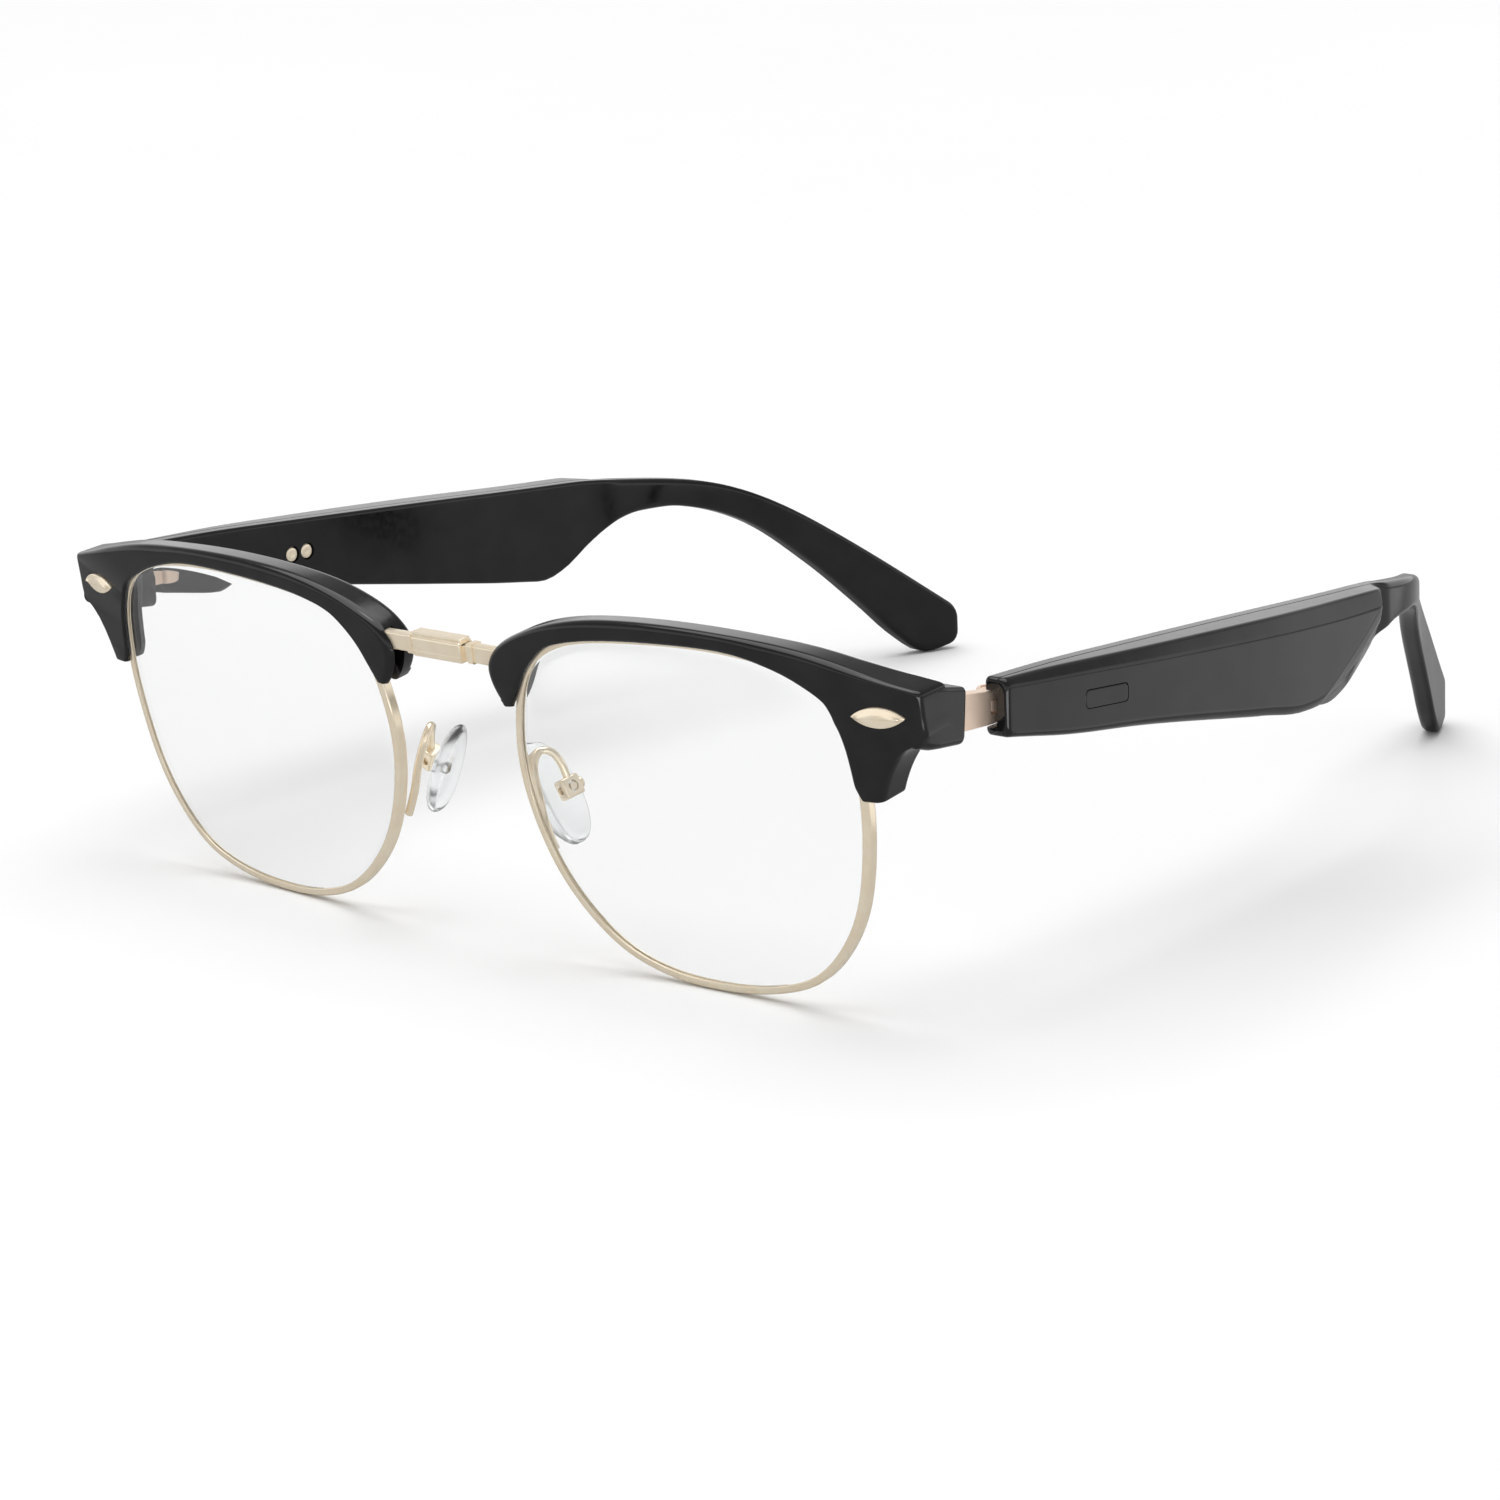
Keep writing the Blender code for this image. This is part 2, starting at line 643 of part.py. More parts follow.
def build_nose_pad(side_name, side, body):
    place = pad_place()
    across = place.to_3x3().col[1]
    pivot = place @ Vector((PAD_PIVOT, 0, 0))
    bm = bmesh.new()
    bmesh.ops.create_uvsphere(bm, u_segments=16, v_segments=8, radius=0.5)
    bmesh.ops.scale(bm, vec=(PAD_THICKNESS, PAD_WIDTH, PAD_LENGTH), verts=bm.verts)
    for vert in bm.verts:
        vert.co.x -= 0.006 * vert.co.z**2
    bmesh.ops.transform(bm, matrix=place, verts=bm.verts)
    pad = add(f"nose_pad_{side_name}", bm, side, body, "silicone", sharp=60)

    stem = box((0.2, PAD_PIVOT + 0.6), (-PAD_STEM / 2, PAD_STEM / 2), (-0.8, 0.8))
    bmesh.ops.transform(stem, matrix=place, verts=stem.verts)
    join(pad, add(f"join_pad_stem_{side_name}", stem, side, body))
    bore = disc(pivot, PAD_SCREW_RADIUS + 0.1, 4.0, across)
    cut(pad, add(f"cut_pad_bore_{side_name}", bore, side, body))

    deep, wide, tall = (size / 2 for size in PAD_BOX)
    holder = box((PAD_PIVOT - deep, PAD_PIVOT + deep), (-wide, wide), (-tall, tall))
    slot = box(
        (PAD_PIVOT - deep - 1, PAD_PIVOT + deep - 0.2),
        (-PAD_BOX_SLOT / 2, PAD_BOX_SLOT / 2),
        (-tall - 1, tall - 0.5),
    )
    for bm in (holder, slot):
        bmesh.ops.transform(bm, matrix=place, verts=bm.verts)
    holder = add(f"pad_box_{side_name}", holder, side, ROOT, "gold")
    cut(holder, add(f"cut_pad_slot_{side_name}", slot, side, ROOT))
    bore = disc(pivot, PAD_SCREW_RADIUS + 0.1, 4.0, across)
    cut(holder, add(f"cut_pad_box_bore_{side_name}", bore, side, ROOT))
    screw = disc(pivot, PAD_SCREW_RADIUS, 2 * wide + 0.2, across, 12)
    screw = add(f"pad_screw_{side_name}", screw, side, ROOT, "gold")
    head = disc(pivot + across * (wide + 0.3), 0.8, 0.4, across, 12)
    join(screw, add(f"join_pad_screw_head_{side_name}", head, side, ROOT))


def build_pad_arm(side_name, side):
    """A bent wire from the rim to the pad's box."""
    curve = bpy.data.curves.new(f"pad_arm_{side_name}", "CURVE")
    curve.dimensions = "3D"
    curve.bevel_depth = PAD_ARM_RADIUS * MM
    curve.bevel_resolution = 1
    curve.use_fill_caps = True
    points = spline(PAD_ARM, 3, closed=False)
    line = curve.splines.new("POLY")
    line.points.add(len(points) - 1)
    for knot, (x, y, z) in zip(line.points, points):
        knot.co = (side * x * MM, y * MM, z * MM, 1.0)
    add_object(f"pad_arm_{side_name}", curve, ROOT, "gold")


# ---------------------------------------------------------------- hinges


def hinge_stem(grow, rear):
    """The bar that reaches from the brow to the hinge, to a given rear end."""
    (front, low, high), (bend, *ends) = HINGE_STEM
    inside, outside = HINGE.x - HINGE_STEM_INSIDE - grow, HINGE.x + HINGE_RADIUS + grow
    rings = []
    for y, bottom, top in ((front - grow, low, high), (bend, *ends), (rear, *ends)):
        ring = rounded_ring(inside, outside, bottom - grow, top + grow, (0, 0, 0, 0))
        rings.append([(x, y, z) for x, z in ring])
    return loft(rings)


def build_hinge(side_name, side, temple):
    up = (0, 0, 1)
    block = add(f"hinge_block_{side_name}", hinge_stem(0.0, HINGE.y), side, ROOT, "gold")
    barrel = disc(HINGE, HINGE_RADIUS - 0.001, HINGE_HEIGHT - 0.002, up, 24)
    join(block, add(f"join_barrel_{side_name}", barrel, side, ROOT))
    gap = box(
        (HINGE.x - 4, HINGE.x + 4),
        (HINGE.y - LEAF_RADIUS - GAP, HINGE.y + 4),
        (HINGE.z - KNUCKLE_GAP_HEIGHT / 2, HINGE.z + KNUCKLE_GAP_HEIGHT / 2),
    )
    bore = disc(HINGE, HINGE_SCREW_RADIUS + HINGE_BORE_CLEARANCE, 2 * HINGE_HEIGHT, up, 20)
    head_radius, head_height = HINGE_SCREW_HEAD
    top = HINGE + Vector((0, 0, HINGE_HEIGHT / 2))
    head_bore = disc(top, head_radius + 0.1, 2 * (head_height + 0.1), up, 20)
    cut(
        block,
        add(f"cut_knuckle_gap_{side_name}", gap, side, ROOT),
        add(f"cut_hinge_bore_{side_name}", bore, side, ROOT),
        add(f"cut_hinge_head_{side_name}", head_bore, side, ROOT),
    )

    length = HINGE_HEIGHT - 0.3
    screw = add(
        f"hinge_screw_{side_name}", disc(HINGE, HINGE_SCREW_RADIUS, length, up, 16), side, ROOT, "gold"
    )
    head = disc(top - Vector((0, 0, head_height / 2 + 0.05)), head_radius, head_height, up, 16)
    join(screw, add(f"join_hinge_screw_head_{side_name}", head, side, ROOT))

    leaf = add(
        f"hinge_leaf_{side_name}",
        disc(HINGE, LEAF_RADIUS, LEAF_HEIGHT, up, 24),
        side,
        temple,
        "gold",
    )
    bore = disc(HINGE, HINGE_SCREW_RADIUS + HINGE_BORE_CLEARANCE, 2 * HINGE_HEIGHT, up, 20)
    join(leaf, add(f"join_leaf_tang_{side_name}", leaf_tang(), side, temple))
    cut(leaf, add(f"cut_leaf_bore_{side_name}", bore, side, temple))


def leaf_tang():
    """The strip from the knuckle into the temple, which steps outwards behind the cover."""
    half = LEAF_HEIGHT / 2 - 0.001
    rings = []
    for y, low, high in ((16.0, 70.6, 71.2), (17.3, 70.9, 71.6), (18.9, 72.65, 73.25), (24.6, 72.4, 73.0)):
        rings.append([(x, y, HINGE.z + z) for x, z in rounded_ring(low, high, -half, half, (0, 0, 0, 0))])
    return loft(rings)


# ---------------------------------------------------------------- temples


def inner_face(y):
    """The x of the temple's inner face."""
    return FACE_X - FACE_SLOPE * (y - TEMPLE_START) - smooth(FACE_BEND, y)


def box_thickness(y):
    return smooth(BOX_THICKNESS, y)


def underside(y, offset):
    """The z of the box's underside, which slants up from the inner side to the outer face."""
    share = (offset - SHELL_OFFSET) / (box_thickness(y) - SHELL_OFFSET)
    return (1 - share) * smooth(BOTTOM_LINE, y) + share * smooth(OUTER_BOTTOM_LINE, y)


def middle_line(y):
    return (smooth(TOP_LINE, y) + smooth(BOTTOM_LINE, y)) / 2


def temple_ring(y, low, high, bottom, top, radii, steps=2):
    """A section of the temple at y, between offsets from its inner face."""
    face = inner_face(y)
    ring = rounded_ring(face + low, face + high, bottom, top, radii, steps)
    return [(x, y, z) for x, z in ring]


def stations(start, end, count, extra=()):
    evenly = [start + (end - start) * i / (count - 1) for i in range(count)]
    return sorted(set(evenly) | set(extra))


def tray_rings():
    rings = []
    ends = ((TEMPLE_START, END_ROUND), (TEMPLE_START + 0.25, 0.3), (TEMPLE_START + END_ROUND, 0.0))
    marks = [(y, 0.0) for y in stations(19.0, BOX_END, 14, (80.0, 82.5, 85.0, 87.5, 95.5))]
    for y, shrink in (*ends, *marks):
        outer_y = y - smooth(BOX_SLANT, y)
        thick = box_thickness(outer_y) - 0.8 * shrink
        edge = min(smooth(SHELL_EDGE, y), 0.6 * (thick - SHELL_OFFSET))
        low, high = smooth(BOTTOM_LINE, y) + shrink, smooth(TOP_LINE, y) - shrink
        outer_low = smooth(OUTER_BOTTOM_LINE, outer_y) + shrink
        outer_high = smooth(TOP_LINE, outer_y) - shrink
        ring = []
        for offset, level in rounded_ring(SHELL_OFFSET, thick, 0.0, 1.0, (0, 0, 0, 0)):
            bottom, top = (low, high) if offset == SHELL_OFFSET else (outer_low, outer_high)
            ring.append((offset, top if level else bottom))
        ring = eased_ring(ring, edge)
        rings.append(
            [
                (inner_face(at) + offset, at, z)
                for offset, z, at in slanted(ring, SHELL_OFFSET, thick, y, outer_y)
            ]
        )
    return rings


def eased_ring(ring, edge):
    """Cuts the two outer corners of an (offset, z) ring off in two facets each."""
    inner_low, outer_low, outer_high, inner_high = ring
    eased = [inner_low]
    for corner, before, after in ((outer_low, inner_low, outer_high), (outer_high, outer_low, inner_high)):
        corner, before, after = Vector(corner), Vector(before), Vector(after)
        start = corner + (before - corner).normalized() * edge
        end = corner + (after - corner).normalized() * edge
        eased += [tuple(start), tuple(0.29 * (start + end) / 2 + 0.71 * corner), tuple(end)]
    return [*eased, inner_high]


def slanted(ring, low, high, inner_y, outer_y):
    """Gives each (offset, z) point its own y, from the inner side's to the outer face's."""
    return [(x, z, inner_y + (outer_y - inner_y) * (x - low) / (high - low)) for x, z in ring]


def cavity_rings():
    rings = []
    for y in stations(*CAVITY_Y, 9, (78.0, 81.0, 84.0)):
        outer = box_thickness(y) - SHELL_WALL
        floor, top = smooth(CAVITY_FLOOR, y), smooth(TOP_LINE, y) - SHELL_WALL
        corners = (
            (SHELL_OFFSET - 1.0, underside(y, SHELL_OFFSET) + floor),
            (outer, underside(y, outer) + floor),
            (outer, top),
            (SHELL_OFFSET - 1.0, top),
        )
        rings.append([(inner_face(y) + offset, y, z) for offset, z in corners])
    return rings


def build_shell(side_name, side, temple, cutters):
    shell = add(f"temple_shell_{side_name}", loft(tray_rings()), side, temple, "frame_black")
    cut(shell, add(f"cut_cavity_{side_name}", loft(cavity_rings()), side, temple), *cutters)


def build_cover(side_name, side, temple, cutters):
    """The inner half of the temple, which runs on behind the box as the ear hook."""
    rings = []
    start = ((TEMPLE_START, END_ROUND), (TEMPLE_START + 0.25, 0.3), (TEMPLE_START + END_ROUND, 0.0))
    marks = [(y, 0.0) for y in stations(19.0, 65.0, 4)]
    marks += [(y, 0.0) for y in stations(71.0, 96.5, 6, (82.0, 84.0, 86.0, 88.0, 93.0))]
    marks.append((COVER_THICKENS[0], 0.0))
    marks += [(y, 0.0) for y in stations(COVER_THICKENS[1], TIP_END - 1.0, 19, (LOWEST_Y,))]
    end = ((TIP_END - 0.35, 0.35), (TIP_END, 1.1))
    for y, shrink in (*start, *marks, *end):
        share = min(1.0, max(0.0, (y - COVER_THICKENS[0]) / (COVER_THICKENS[1] - COVER_THICKENS[0])))
        thick = COVER_THICKNESS + share * (HOOK_THICKNESS - COVER_THICKNESS)
        bottom, top = smooth(BOTTOM_LINE, y) + shrink, smooth(TOP_LINE, y) - shrink
        inset_x = 0.5 * shrink
        edge = COVER_EDGE + share * 0.4
        rings.append(temple_ring(y, inset_x, thick - share * inset_x, bottom, top, (edge, 0.4, 0.4, edge)))
    cover = add(f"temple_cover_{side_name}", loft(rings), side, temple, "frame_black")
    half = HINGE_HEIGHT / 2 + HINGE_SLOT_CLEARANCE
    slot = box((66.0, FACE_X + COVER_THICKNESS + 0.15), (12.0, 19.4), (HINGE.z - half, HINGE.z + half))
    cut(cover, add(f"cut_hinge_slot_{side_name}", slot, side, temple), *cutters)


def straight_block(offsets, ys, height, middle=middle_line, edge=0.0):
    """A straight block that lies along the temple between two y, a given height round a line."""
    rings = []
    for y in ys:
        z = middle(y)
        rings.append(temple_ring(y, *offsets, z - height / 2, z + height / 2, (edge,) * 4, 2))
    return loft(rings)


def build_electronics(side_name, side, temple):
    board = straight_block(BOARD_OFFSET, BOARD_Y[side_name], BOARD_HEIGHT)
    add(f"circuit_board_{side_name}", board, side, temple, "board_green")
    chip = straight_block(CHIP_OFFSET, CHIP_Y, CHIP_HEIGHT)
    add(f"sound_chip_{side_name}", chip, side, temple, "chip_black")
    battery = straight_block(BATTERY_OFFSET, BATTERY_Y, BATTERY_HEIGHT, edge=1.2)
    add(f"battery_{side_name}", battery, side, temple, "battery_foil")
    speaker = straight_block(SPEAKER_OFFSET, SPEAKER_Y, SPEAKER_HEIGHT, lambda y: SPEAKER_MIDDLE_Z, edge=0.8)
    add(f"speaker_{side_name}", speaker, side, temple, "speaker_black")
    grille = straight_block(
        GRILLE_OFFSET, GRILLE_Y, GRILLE_HEIGHT, lambda y: smooth(BOTTOM_LINE, y) + 0.65
    )
    add(f"speaker_grille_{side_name}", grille, side, temple, "grille_black")
    microphone = straight_block(
        MICROPHONE_OFFSET,
        MICROPHONE_Y,
        MICROPHONE_HEIGHT,
        lambda y: smooth(BOTTOM_LINE, y) + SHELL_WALL + 0.9,
    )
    add(f"microphone_{side_name}", microphone, side, temple, "steel")


def electronics_cutters(side_name, side, temple):
    """The slot for the speaker's grille and the microphone's pinhole, in the shell's underside."""
    slot = straight_block(
        (GRILLE_OFFSET[0] - GAP, GRILLE_OFFSET[1] + GAP),
        (GRILLE_Y[0] - GAP, GRILLE_Y[1] + GAP),
        4.0,
        lambda y: smooth(BOTTOM_LINE, y) + 0.5,
    )
    y = sum(MICROPHONE_Y) / 2
    x = inner_face(y) + sum(MICROPHONE_OFFSET) / 2
    hole = disc((x, y, smooth(BOTTOM_LINE, y)), MICROPHONE_HOLE_RADIUS, 4.0, (0, 0, 1), 12)
    return (
        add(f"cut_grille_slot_{side_name}", slot, side, temple),
        add(f"cut_microphone_hole_{side_name}", hole, side, temple),
    )


# ---------------------------------------------------------------- key and charging contacts


def key_rings(grow, low, high):
    """A pill-shaped block through the left temple's outer wall."""
    half_length = (KEY_Y[1] - KEY_Y[0]) / 2 + grow
    half_height = KEY_HEIGHT / 2 + grow
    y0, z0 = KEY_MIDDLE
    outline = rounded_ring(
        -half_length, half_length, -half_height, half_height, (0.6 + grow,) * 4, 3
    )
    rings = []
    for offset in (low, high):
        ring = []
        for along, up in outline:
            y = y0 + along
            ring.append((inner_face(y) + box_thickness(y) + offset, y, z0 + up + KEY_SLOPE * along))
        rings.append(ring)
    return rings


def build_key(key_body, temple):
    add("function_key", loft(key_rings(0.0, -KEY_DEPTH, 0.0)), 1, key_body, "frame_black")
    switch = straight_block(SWITCH_OFFSET, SWITCH_Y, 2.0, lambda y: KEY_MIDDLE[1])
    add("key_switch", switch, 1, temple, "steel")


def pin_place(y):
    face = inner_face(y)
    return Vector((face, y, PIN_Z)), Vector((1.0, FACE_SLOPE, 0.0)).normalized()


def build_charging(side, temple):
    holes = []
    for name, y in zip(("front", "rear"), PIN_Y):
        face, inwards = pin_place(y)
        centre = face + inwards * (PIN_RECESS + PIN_LENGTH / 2)
        pin = disc(centre, PIN_RADIUS, PIN_LENGTH, inwards, 20)
        add(f"charge_pin_{name}", pin, side, temple, "gold")
        holes.append(add(f"cut_pin_{name}", disc(face, PIN_HOLE_RADIUS, 6.0, inwards, 20), side, temple))
    magnet = straight_block(MAGNET_OFFSET, MAGNET_Y, MAGNET_HEIGHT)
    add("charge_magnet", magnet, side, temple, "magnet_nickel")
    return holes


# ---------------------------------------------------------------- assembly

clear_scene()
PARTS = new_collection("smart_glasses")
CUTTERS = new_collection("cutters")
CUTTERS.hide_render = True
MATERIALS = {name: new_material(name) for name in COLOURS}
ROOT = new_empty("glasses", (0, -FOOTPRINT_MIDDLE_Y, 0))
FRONT = new_empty("front_plane", (0, FRONT_FOOT_Y, 0), ROOT, (LEAN, 0, 0))

RIM_LINE = spline(RIM_OUTLINE, RIM_STEPS, closed=True)
build_bridge()
for side_word, sign in SIDES.items():
    build_rim(side_word, sign, RIM_LINE)
    build_lens(side_word, sign, RIM_LINE)
    build_brow(side_word, sign, RIM_LINE, [build_rivet(side_word, sign)])
    build_rim_lock(side_word, sign)
    pad_pivot = pad_place() @ Vector((PAD_PIVOT, 0, 0))
    pad_body = new_empty(f"pad_pivot_{side_word}", (sign * pad_pivot.x, pad_pivot.y, pad_pivot.z), ROOT)
    build_nose_pad(side_word, sign, pad_body)
    build_pad_arm(side_word, sign)
    temple_body = new_empty(f"hinge_axis_{side_word}", (sign * HINGE.x, HINGE.y, HINGE.z), ROOT)
    build_hinge(side_word, sign, temple_body)
    shell_cutters = list(electronics_cutters(side_word, sign, temple_body))
    cover_cutters = []
    if sign > 0:
        key_y, key_z = KEY_MIDDLE
        key_place = (inner_face(key_y) + box_thickness(key_y), key_y, key_z)
        key_travel = new_empty("key_travel", key_place, ROOT)
        build_key(key_travel, temple_body)
        key_hole = loft(key_rings(KEY_CLEARANCE, -KEY_DEPTH - 1.0, 1.0))
        shell_cutters.append(add("cut_key_hole", key_hole, 1, temple_body))
    else:
        cover_cutters += build_charging(sign, temple_body)
    build_shell(side_word, sign, temple_body, shell_cutters)
    build_cover(side_word, sign, temple_body, cover_cutters)
    build_electronics(side_word, sign, temple_body)
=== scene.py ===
"""Browline smart glasses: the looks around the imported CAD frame.

Shapes are drawn in millimetres in the design's own axes and become metres in the row's frame where a piece is
made. The front's pieces are drawn as (x, w, v): w is the depth behind the front's surface, v the height along
its slope. Pieces are drawn for the left side (x > 0) and mirrored for the right one.
"""

import json
import math

import bmesh
import bpy
from mathutils import Matrix, Vector


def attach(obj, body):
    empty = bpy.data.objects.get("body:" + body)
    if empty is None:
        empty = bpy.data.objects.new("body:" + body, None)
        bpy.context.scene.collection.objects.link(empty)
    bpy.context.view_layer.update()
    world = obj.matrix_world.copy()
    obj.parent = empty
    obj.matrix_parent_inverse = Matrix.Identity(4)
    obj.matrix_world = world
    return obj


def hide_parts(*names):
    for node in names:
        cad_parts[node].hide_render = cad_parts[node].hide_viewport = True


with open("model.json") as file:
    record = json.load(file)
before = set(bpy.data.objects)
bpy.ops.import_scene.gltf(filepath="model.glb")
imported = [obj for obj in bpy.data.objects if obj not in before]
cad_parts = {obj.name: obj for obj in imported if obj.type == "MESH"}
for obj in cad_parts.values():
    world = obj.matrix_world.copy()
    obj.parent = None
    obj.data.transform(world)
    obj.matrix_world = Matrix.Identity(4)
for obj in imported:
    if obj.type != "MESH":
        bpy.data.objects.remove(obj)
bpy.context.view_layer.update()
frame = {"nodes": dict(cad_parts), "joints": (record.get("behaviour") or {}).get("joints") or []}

MM = 0.001
SIDES = {"left": 1, "right": -1}
JOINTS = {joint["name"]: joint for joint in frame["joints"]}

HINGE = Vector((70.0, 16.0, 37.1))
MIDDLE_Y = HINGE.y - JOINTS["temple_left_fold"]["pos_m"][1] / MM
FRONT_FOOT_Y = 2.97
LEAN = math.radians(7.69)

# ---------------------------------------------------------------- camera and light

CAMERA_PLACE = (364.89, -357.72, 161.84)
CAMERA_HEADING = math.radians(-48.400)  # round the vertical, from +x
CAMERA_RISE = math.radians(15.178)  # above the floor
CAMERA_ROLL = math.radians(-2.680)
CAMERA_LENS = 102.97
CAMERA_SENSOR = 36.0

# The sky's brightness by height: 0 is the horizon and all that is below it, 1 the zenith.
SKY_LEVELS = ((0.0, 1.0), (0.3, 0.95), (0.5, 0.35), (1.0, 0.32))
SUN_PLACE = (-0.12, 0.0, 1.0)
SUN_STRENGTH = 2.06
SUN_WIDTH = math.radians(70.0)
# Each panel's name, its place and target in metres, its size and its power in watts.
PANELS = (
    ("overhead", (0.0, 0.0, 0.9), (0.0, 0.0, 0.0), (0.2, 0.2), 0.4),
    ("low_side", (0.165, 0.08, 0.004), (0.165, 0.08, 1.0), (0.15, 0.22), 0.055),
    ("low_corner", (0.2, -0.17, 0.004), (0.2, -0.17, 1.0), (0.12, 0.12), 0.176),
)


def make_camera():
    data = bpy.data.cameras.new("camera")
    data.lens = CAMERA_LENS
    data.sensor_width = CAMERA_SENSOR
    data.clip_start = 0.01
    data.clip_end = 20.0
    camera = bpy.data.objects.new("camera", data)
    bpy.context.scene.collection.objects.link(camera)
    heading = Matrix.Rotation(CAMERA_HEADING + math.pi / 2, 4, "Z")
    tip = Matrix.Rotation(math.pi / 2 - CAMERA_RISE, 4, "X")
    turn = heading @ tip @ Matrix.Rotation(CAMERA_ROLL, 4, "Z")
    x, y, z = CAMERA_PLACE
    turn.translation = Vector((x, y - MIDDLE_Y, z)) * MM
    camera.matrix_world = turn
    bpy.context.scene.camera = camera


def make_light(name, kind, place, target, energy):
    data = bpy.data.lights.new(name, kind)
    data.energy = energy
    light = bpy.data.objects.new(name, data)
    bpy.context.scene.collection.objects.link(light)
    light.location = place
    light.rotation_euler = (Vector(target) - Vector(place)).to_track_quat("-Z", "Y").to_euler()
    light.visible_camera = False
    return data


def make_panel(name, place, target, size, watts):
    data = make_light(name, "AREA", place, target, watts)
    data.shape = "RECTANGLE"
    data.size, data.size_y = size


def make_studio():
    scene = bpy.context.scene
    scene.view_settings.view_transform = "Standard"
    scene.view_settings.look = "None"
    world = bpy.data.worlds.new("studio")
    world.use_nodes = True
    tree = world.node_tree
    background = tree.nodes["Background"]
    coords = tree.nodes.new("ShaderNodeTexCoord")
    split = tree.nodes.new("ShaderNodeSeparateXYZ")
    ramp = tree.nodes.new("ShaderNodeValToRGB")
    tree.links.new(coords.outputs["Generated"], split.inputs[0])
    tree.links.new(split.outputs["Z"], ramp.inputs[0])
    tree.links.new(ramp.outputs[0], background.inputs["Color"])
    stops = ramp.color_ramp.elements
    stops[0].position, stops[1].position = 0.0, 1.0
    for place, _ in SKY_LEVELS[1:-1]:
        stops.new(place)
    for stop, (_, level) in zip(stops, SKY_LEVELS):
        stop.color = (level, level, level, 1)
    background.inputs["Strength"].default_value = 1.0
    scene.world = world
    sun = make_light("soft_sun", "SUN", SUN_PLACE, (0.0, 0.0, 0.0), SUN_STRENGTH)
    sun.angle = SUN_WIDTH
    for panel in PANELS:
        make_panel(*panel)


# ---------------------------------------------------------------- materials


class Paint:
    """A small helper that builds one material's nodes."""

    def __init__(self, name):
        self.material = bpy.data.materials.new(name)
        self.material.use_nodes = True
        self.tree = self.material.node_tree
        self.shader = self.tree.nodes["Principled BSDF"]
        self.coords = self.node("ShaderNodeTexCoord").outputs["Object"]

    def node(self, kind, inputs=None, **settings):
        made = self.tree.nodes.new(kind)
        for key, value in settings.items():
            setattr(made, key, value)
        for key, value in (inputs or {}).items():
            made.inputs[key].default_value = value
        return made

    def link(self, source, target):
        self.tree.links.new(source, target)

    def set(self, **values):
        for name, value in values.items():
            self.shader.inputs[name.replace("_", " ")].default_value = value

    def stretched(self, scale):
        mapping = self.node("ShaderNodeMapping", {"Scale": scale})
        self.link(self.coords, mapping.inputs["Vector"])
        return mapping.outputs[0]

    def noise(self, scale, detail=3.0, coords=None):
        noise = self.node("ShaderNodeTexNoise", {"Scale": scale, "Detail": detail})
        self.link(coords or self.coords, noise.inputs["Vector"])
        return noise.outputs["Fac"]

    def ramp(self, source, stops):
        ramp = self.node("ShaderNodeValToRGB")
        elements = ramp.color_ramp.elements
        while len(elements) < len(stops):
            elements.new(0.5)
        for element, (place, colour) in zip(elements, stops):
            element.position = place
            element.color = (*colour, 1.0)
        self.link(source, ramp.inputs[0])
        return ramp.outputs[0]

    def spread(self, source, low, high):
        ends = {"From Min": 0.3, "From Max": 0.7, "To Min": low, "To Max": high}
        spread = self.node("ShaderNodeMapRange", ends)
        self.link(source, spread.inputs["Value"])
        return spread.outputs[0]

    def colour(self, source):
        self.link(source, self.shader.inputs["Base Color"])

    def roughness(self, source):
        self.link(source, self.shader.inputs["Roughness"])

    def bump(self, source, strength, distance):
        bump = self.node("ShaderNodeBump", {"Strength": strength, "Distance": distance})
        self.link(source, bump.inputs["Height"])
        self.link(bump.outputs[0], self.shader.inputs["Normal"])

    def mix_in(self, share, colour):
        """Shows a see-through colour in place of the surface, by a share between 0 and 1."""
        other = self.node("ShaderNodeBsdfTransparent", {"Color": (*colour, 1.0)})
        mix = self.node("ShaderNodeMixShader")
        for i, source in enumerate((share, self.shader.outputs[0], other.outputs[0])):
            self.link(source, mix.inputs[i])
        self.link(mix.outputs[0], self.tree.nodes["Material Output"].inputs["Surface"])

    def let_lamps_through(self, tint):
        """Light from lamps passes the clear surface unbent, so that it casts only a faint shadow."""
        self.mix_in(self.node("ShaderNodeLightPath").outputs["Is Shadow Ray"], tint)

    def dim_in_reflections(self, share):
        """Mirrored in a shiny piece the surface looks darker than it does directly."""
        path = self.node("ShaderNodeLightPath")
        offset = self.node("ShaderNodeMath", operation="SUBTRACT")
        mirrored = self.node("ShaderNodeMath", {1: 0.5}, operation="GREATER_THAN")
        level = self.node("ShaderNodeMath", {1: 1.0 - share}, operation="MULTIPLY")
        self.link(path.outputs["Is Glossy Ray"], offset.inputs[0])
        self.link(path.outputs["Is Transmission Ray"], offset.inputs[1])
        self.link(offset.outputs[0], mirrored.inputs[0])
        self.link(mirrored.outputs[0], level.inputs[0])
        self.mix_in(level.outputs[0], (0.0, 0.0, 0.0))


def black_plastic():
    paint = Paint("polished_black")
    paint.set(IOR=1.47)
    shades = [(0.35, (0.0035, 0.0035, 0.004)), (0.65, (0.0075, 0.0075, 0.008))]
    paint.colour(paint.ramp(paint.noise(260.0), shades))
    paint.roughness(paint.spread(paint.noise(900.0, 4.0), 0.10, 0.17))
    paint.bump(paint.noise(2600.0, 2.0), 0.05, 0.00002)
    return paint.material


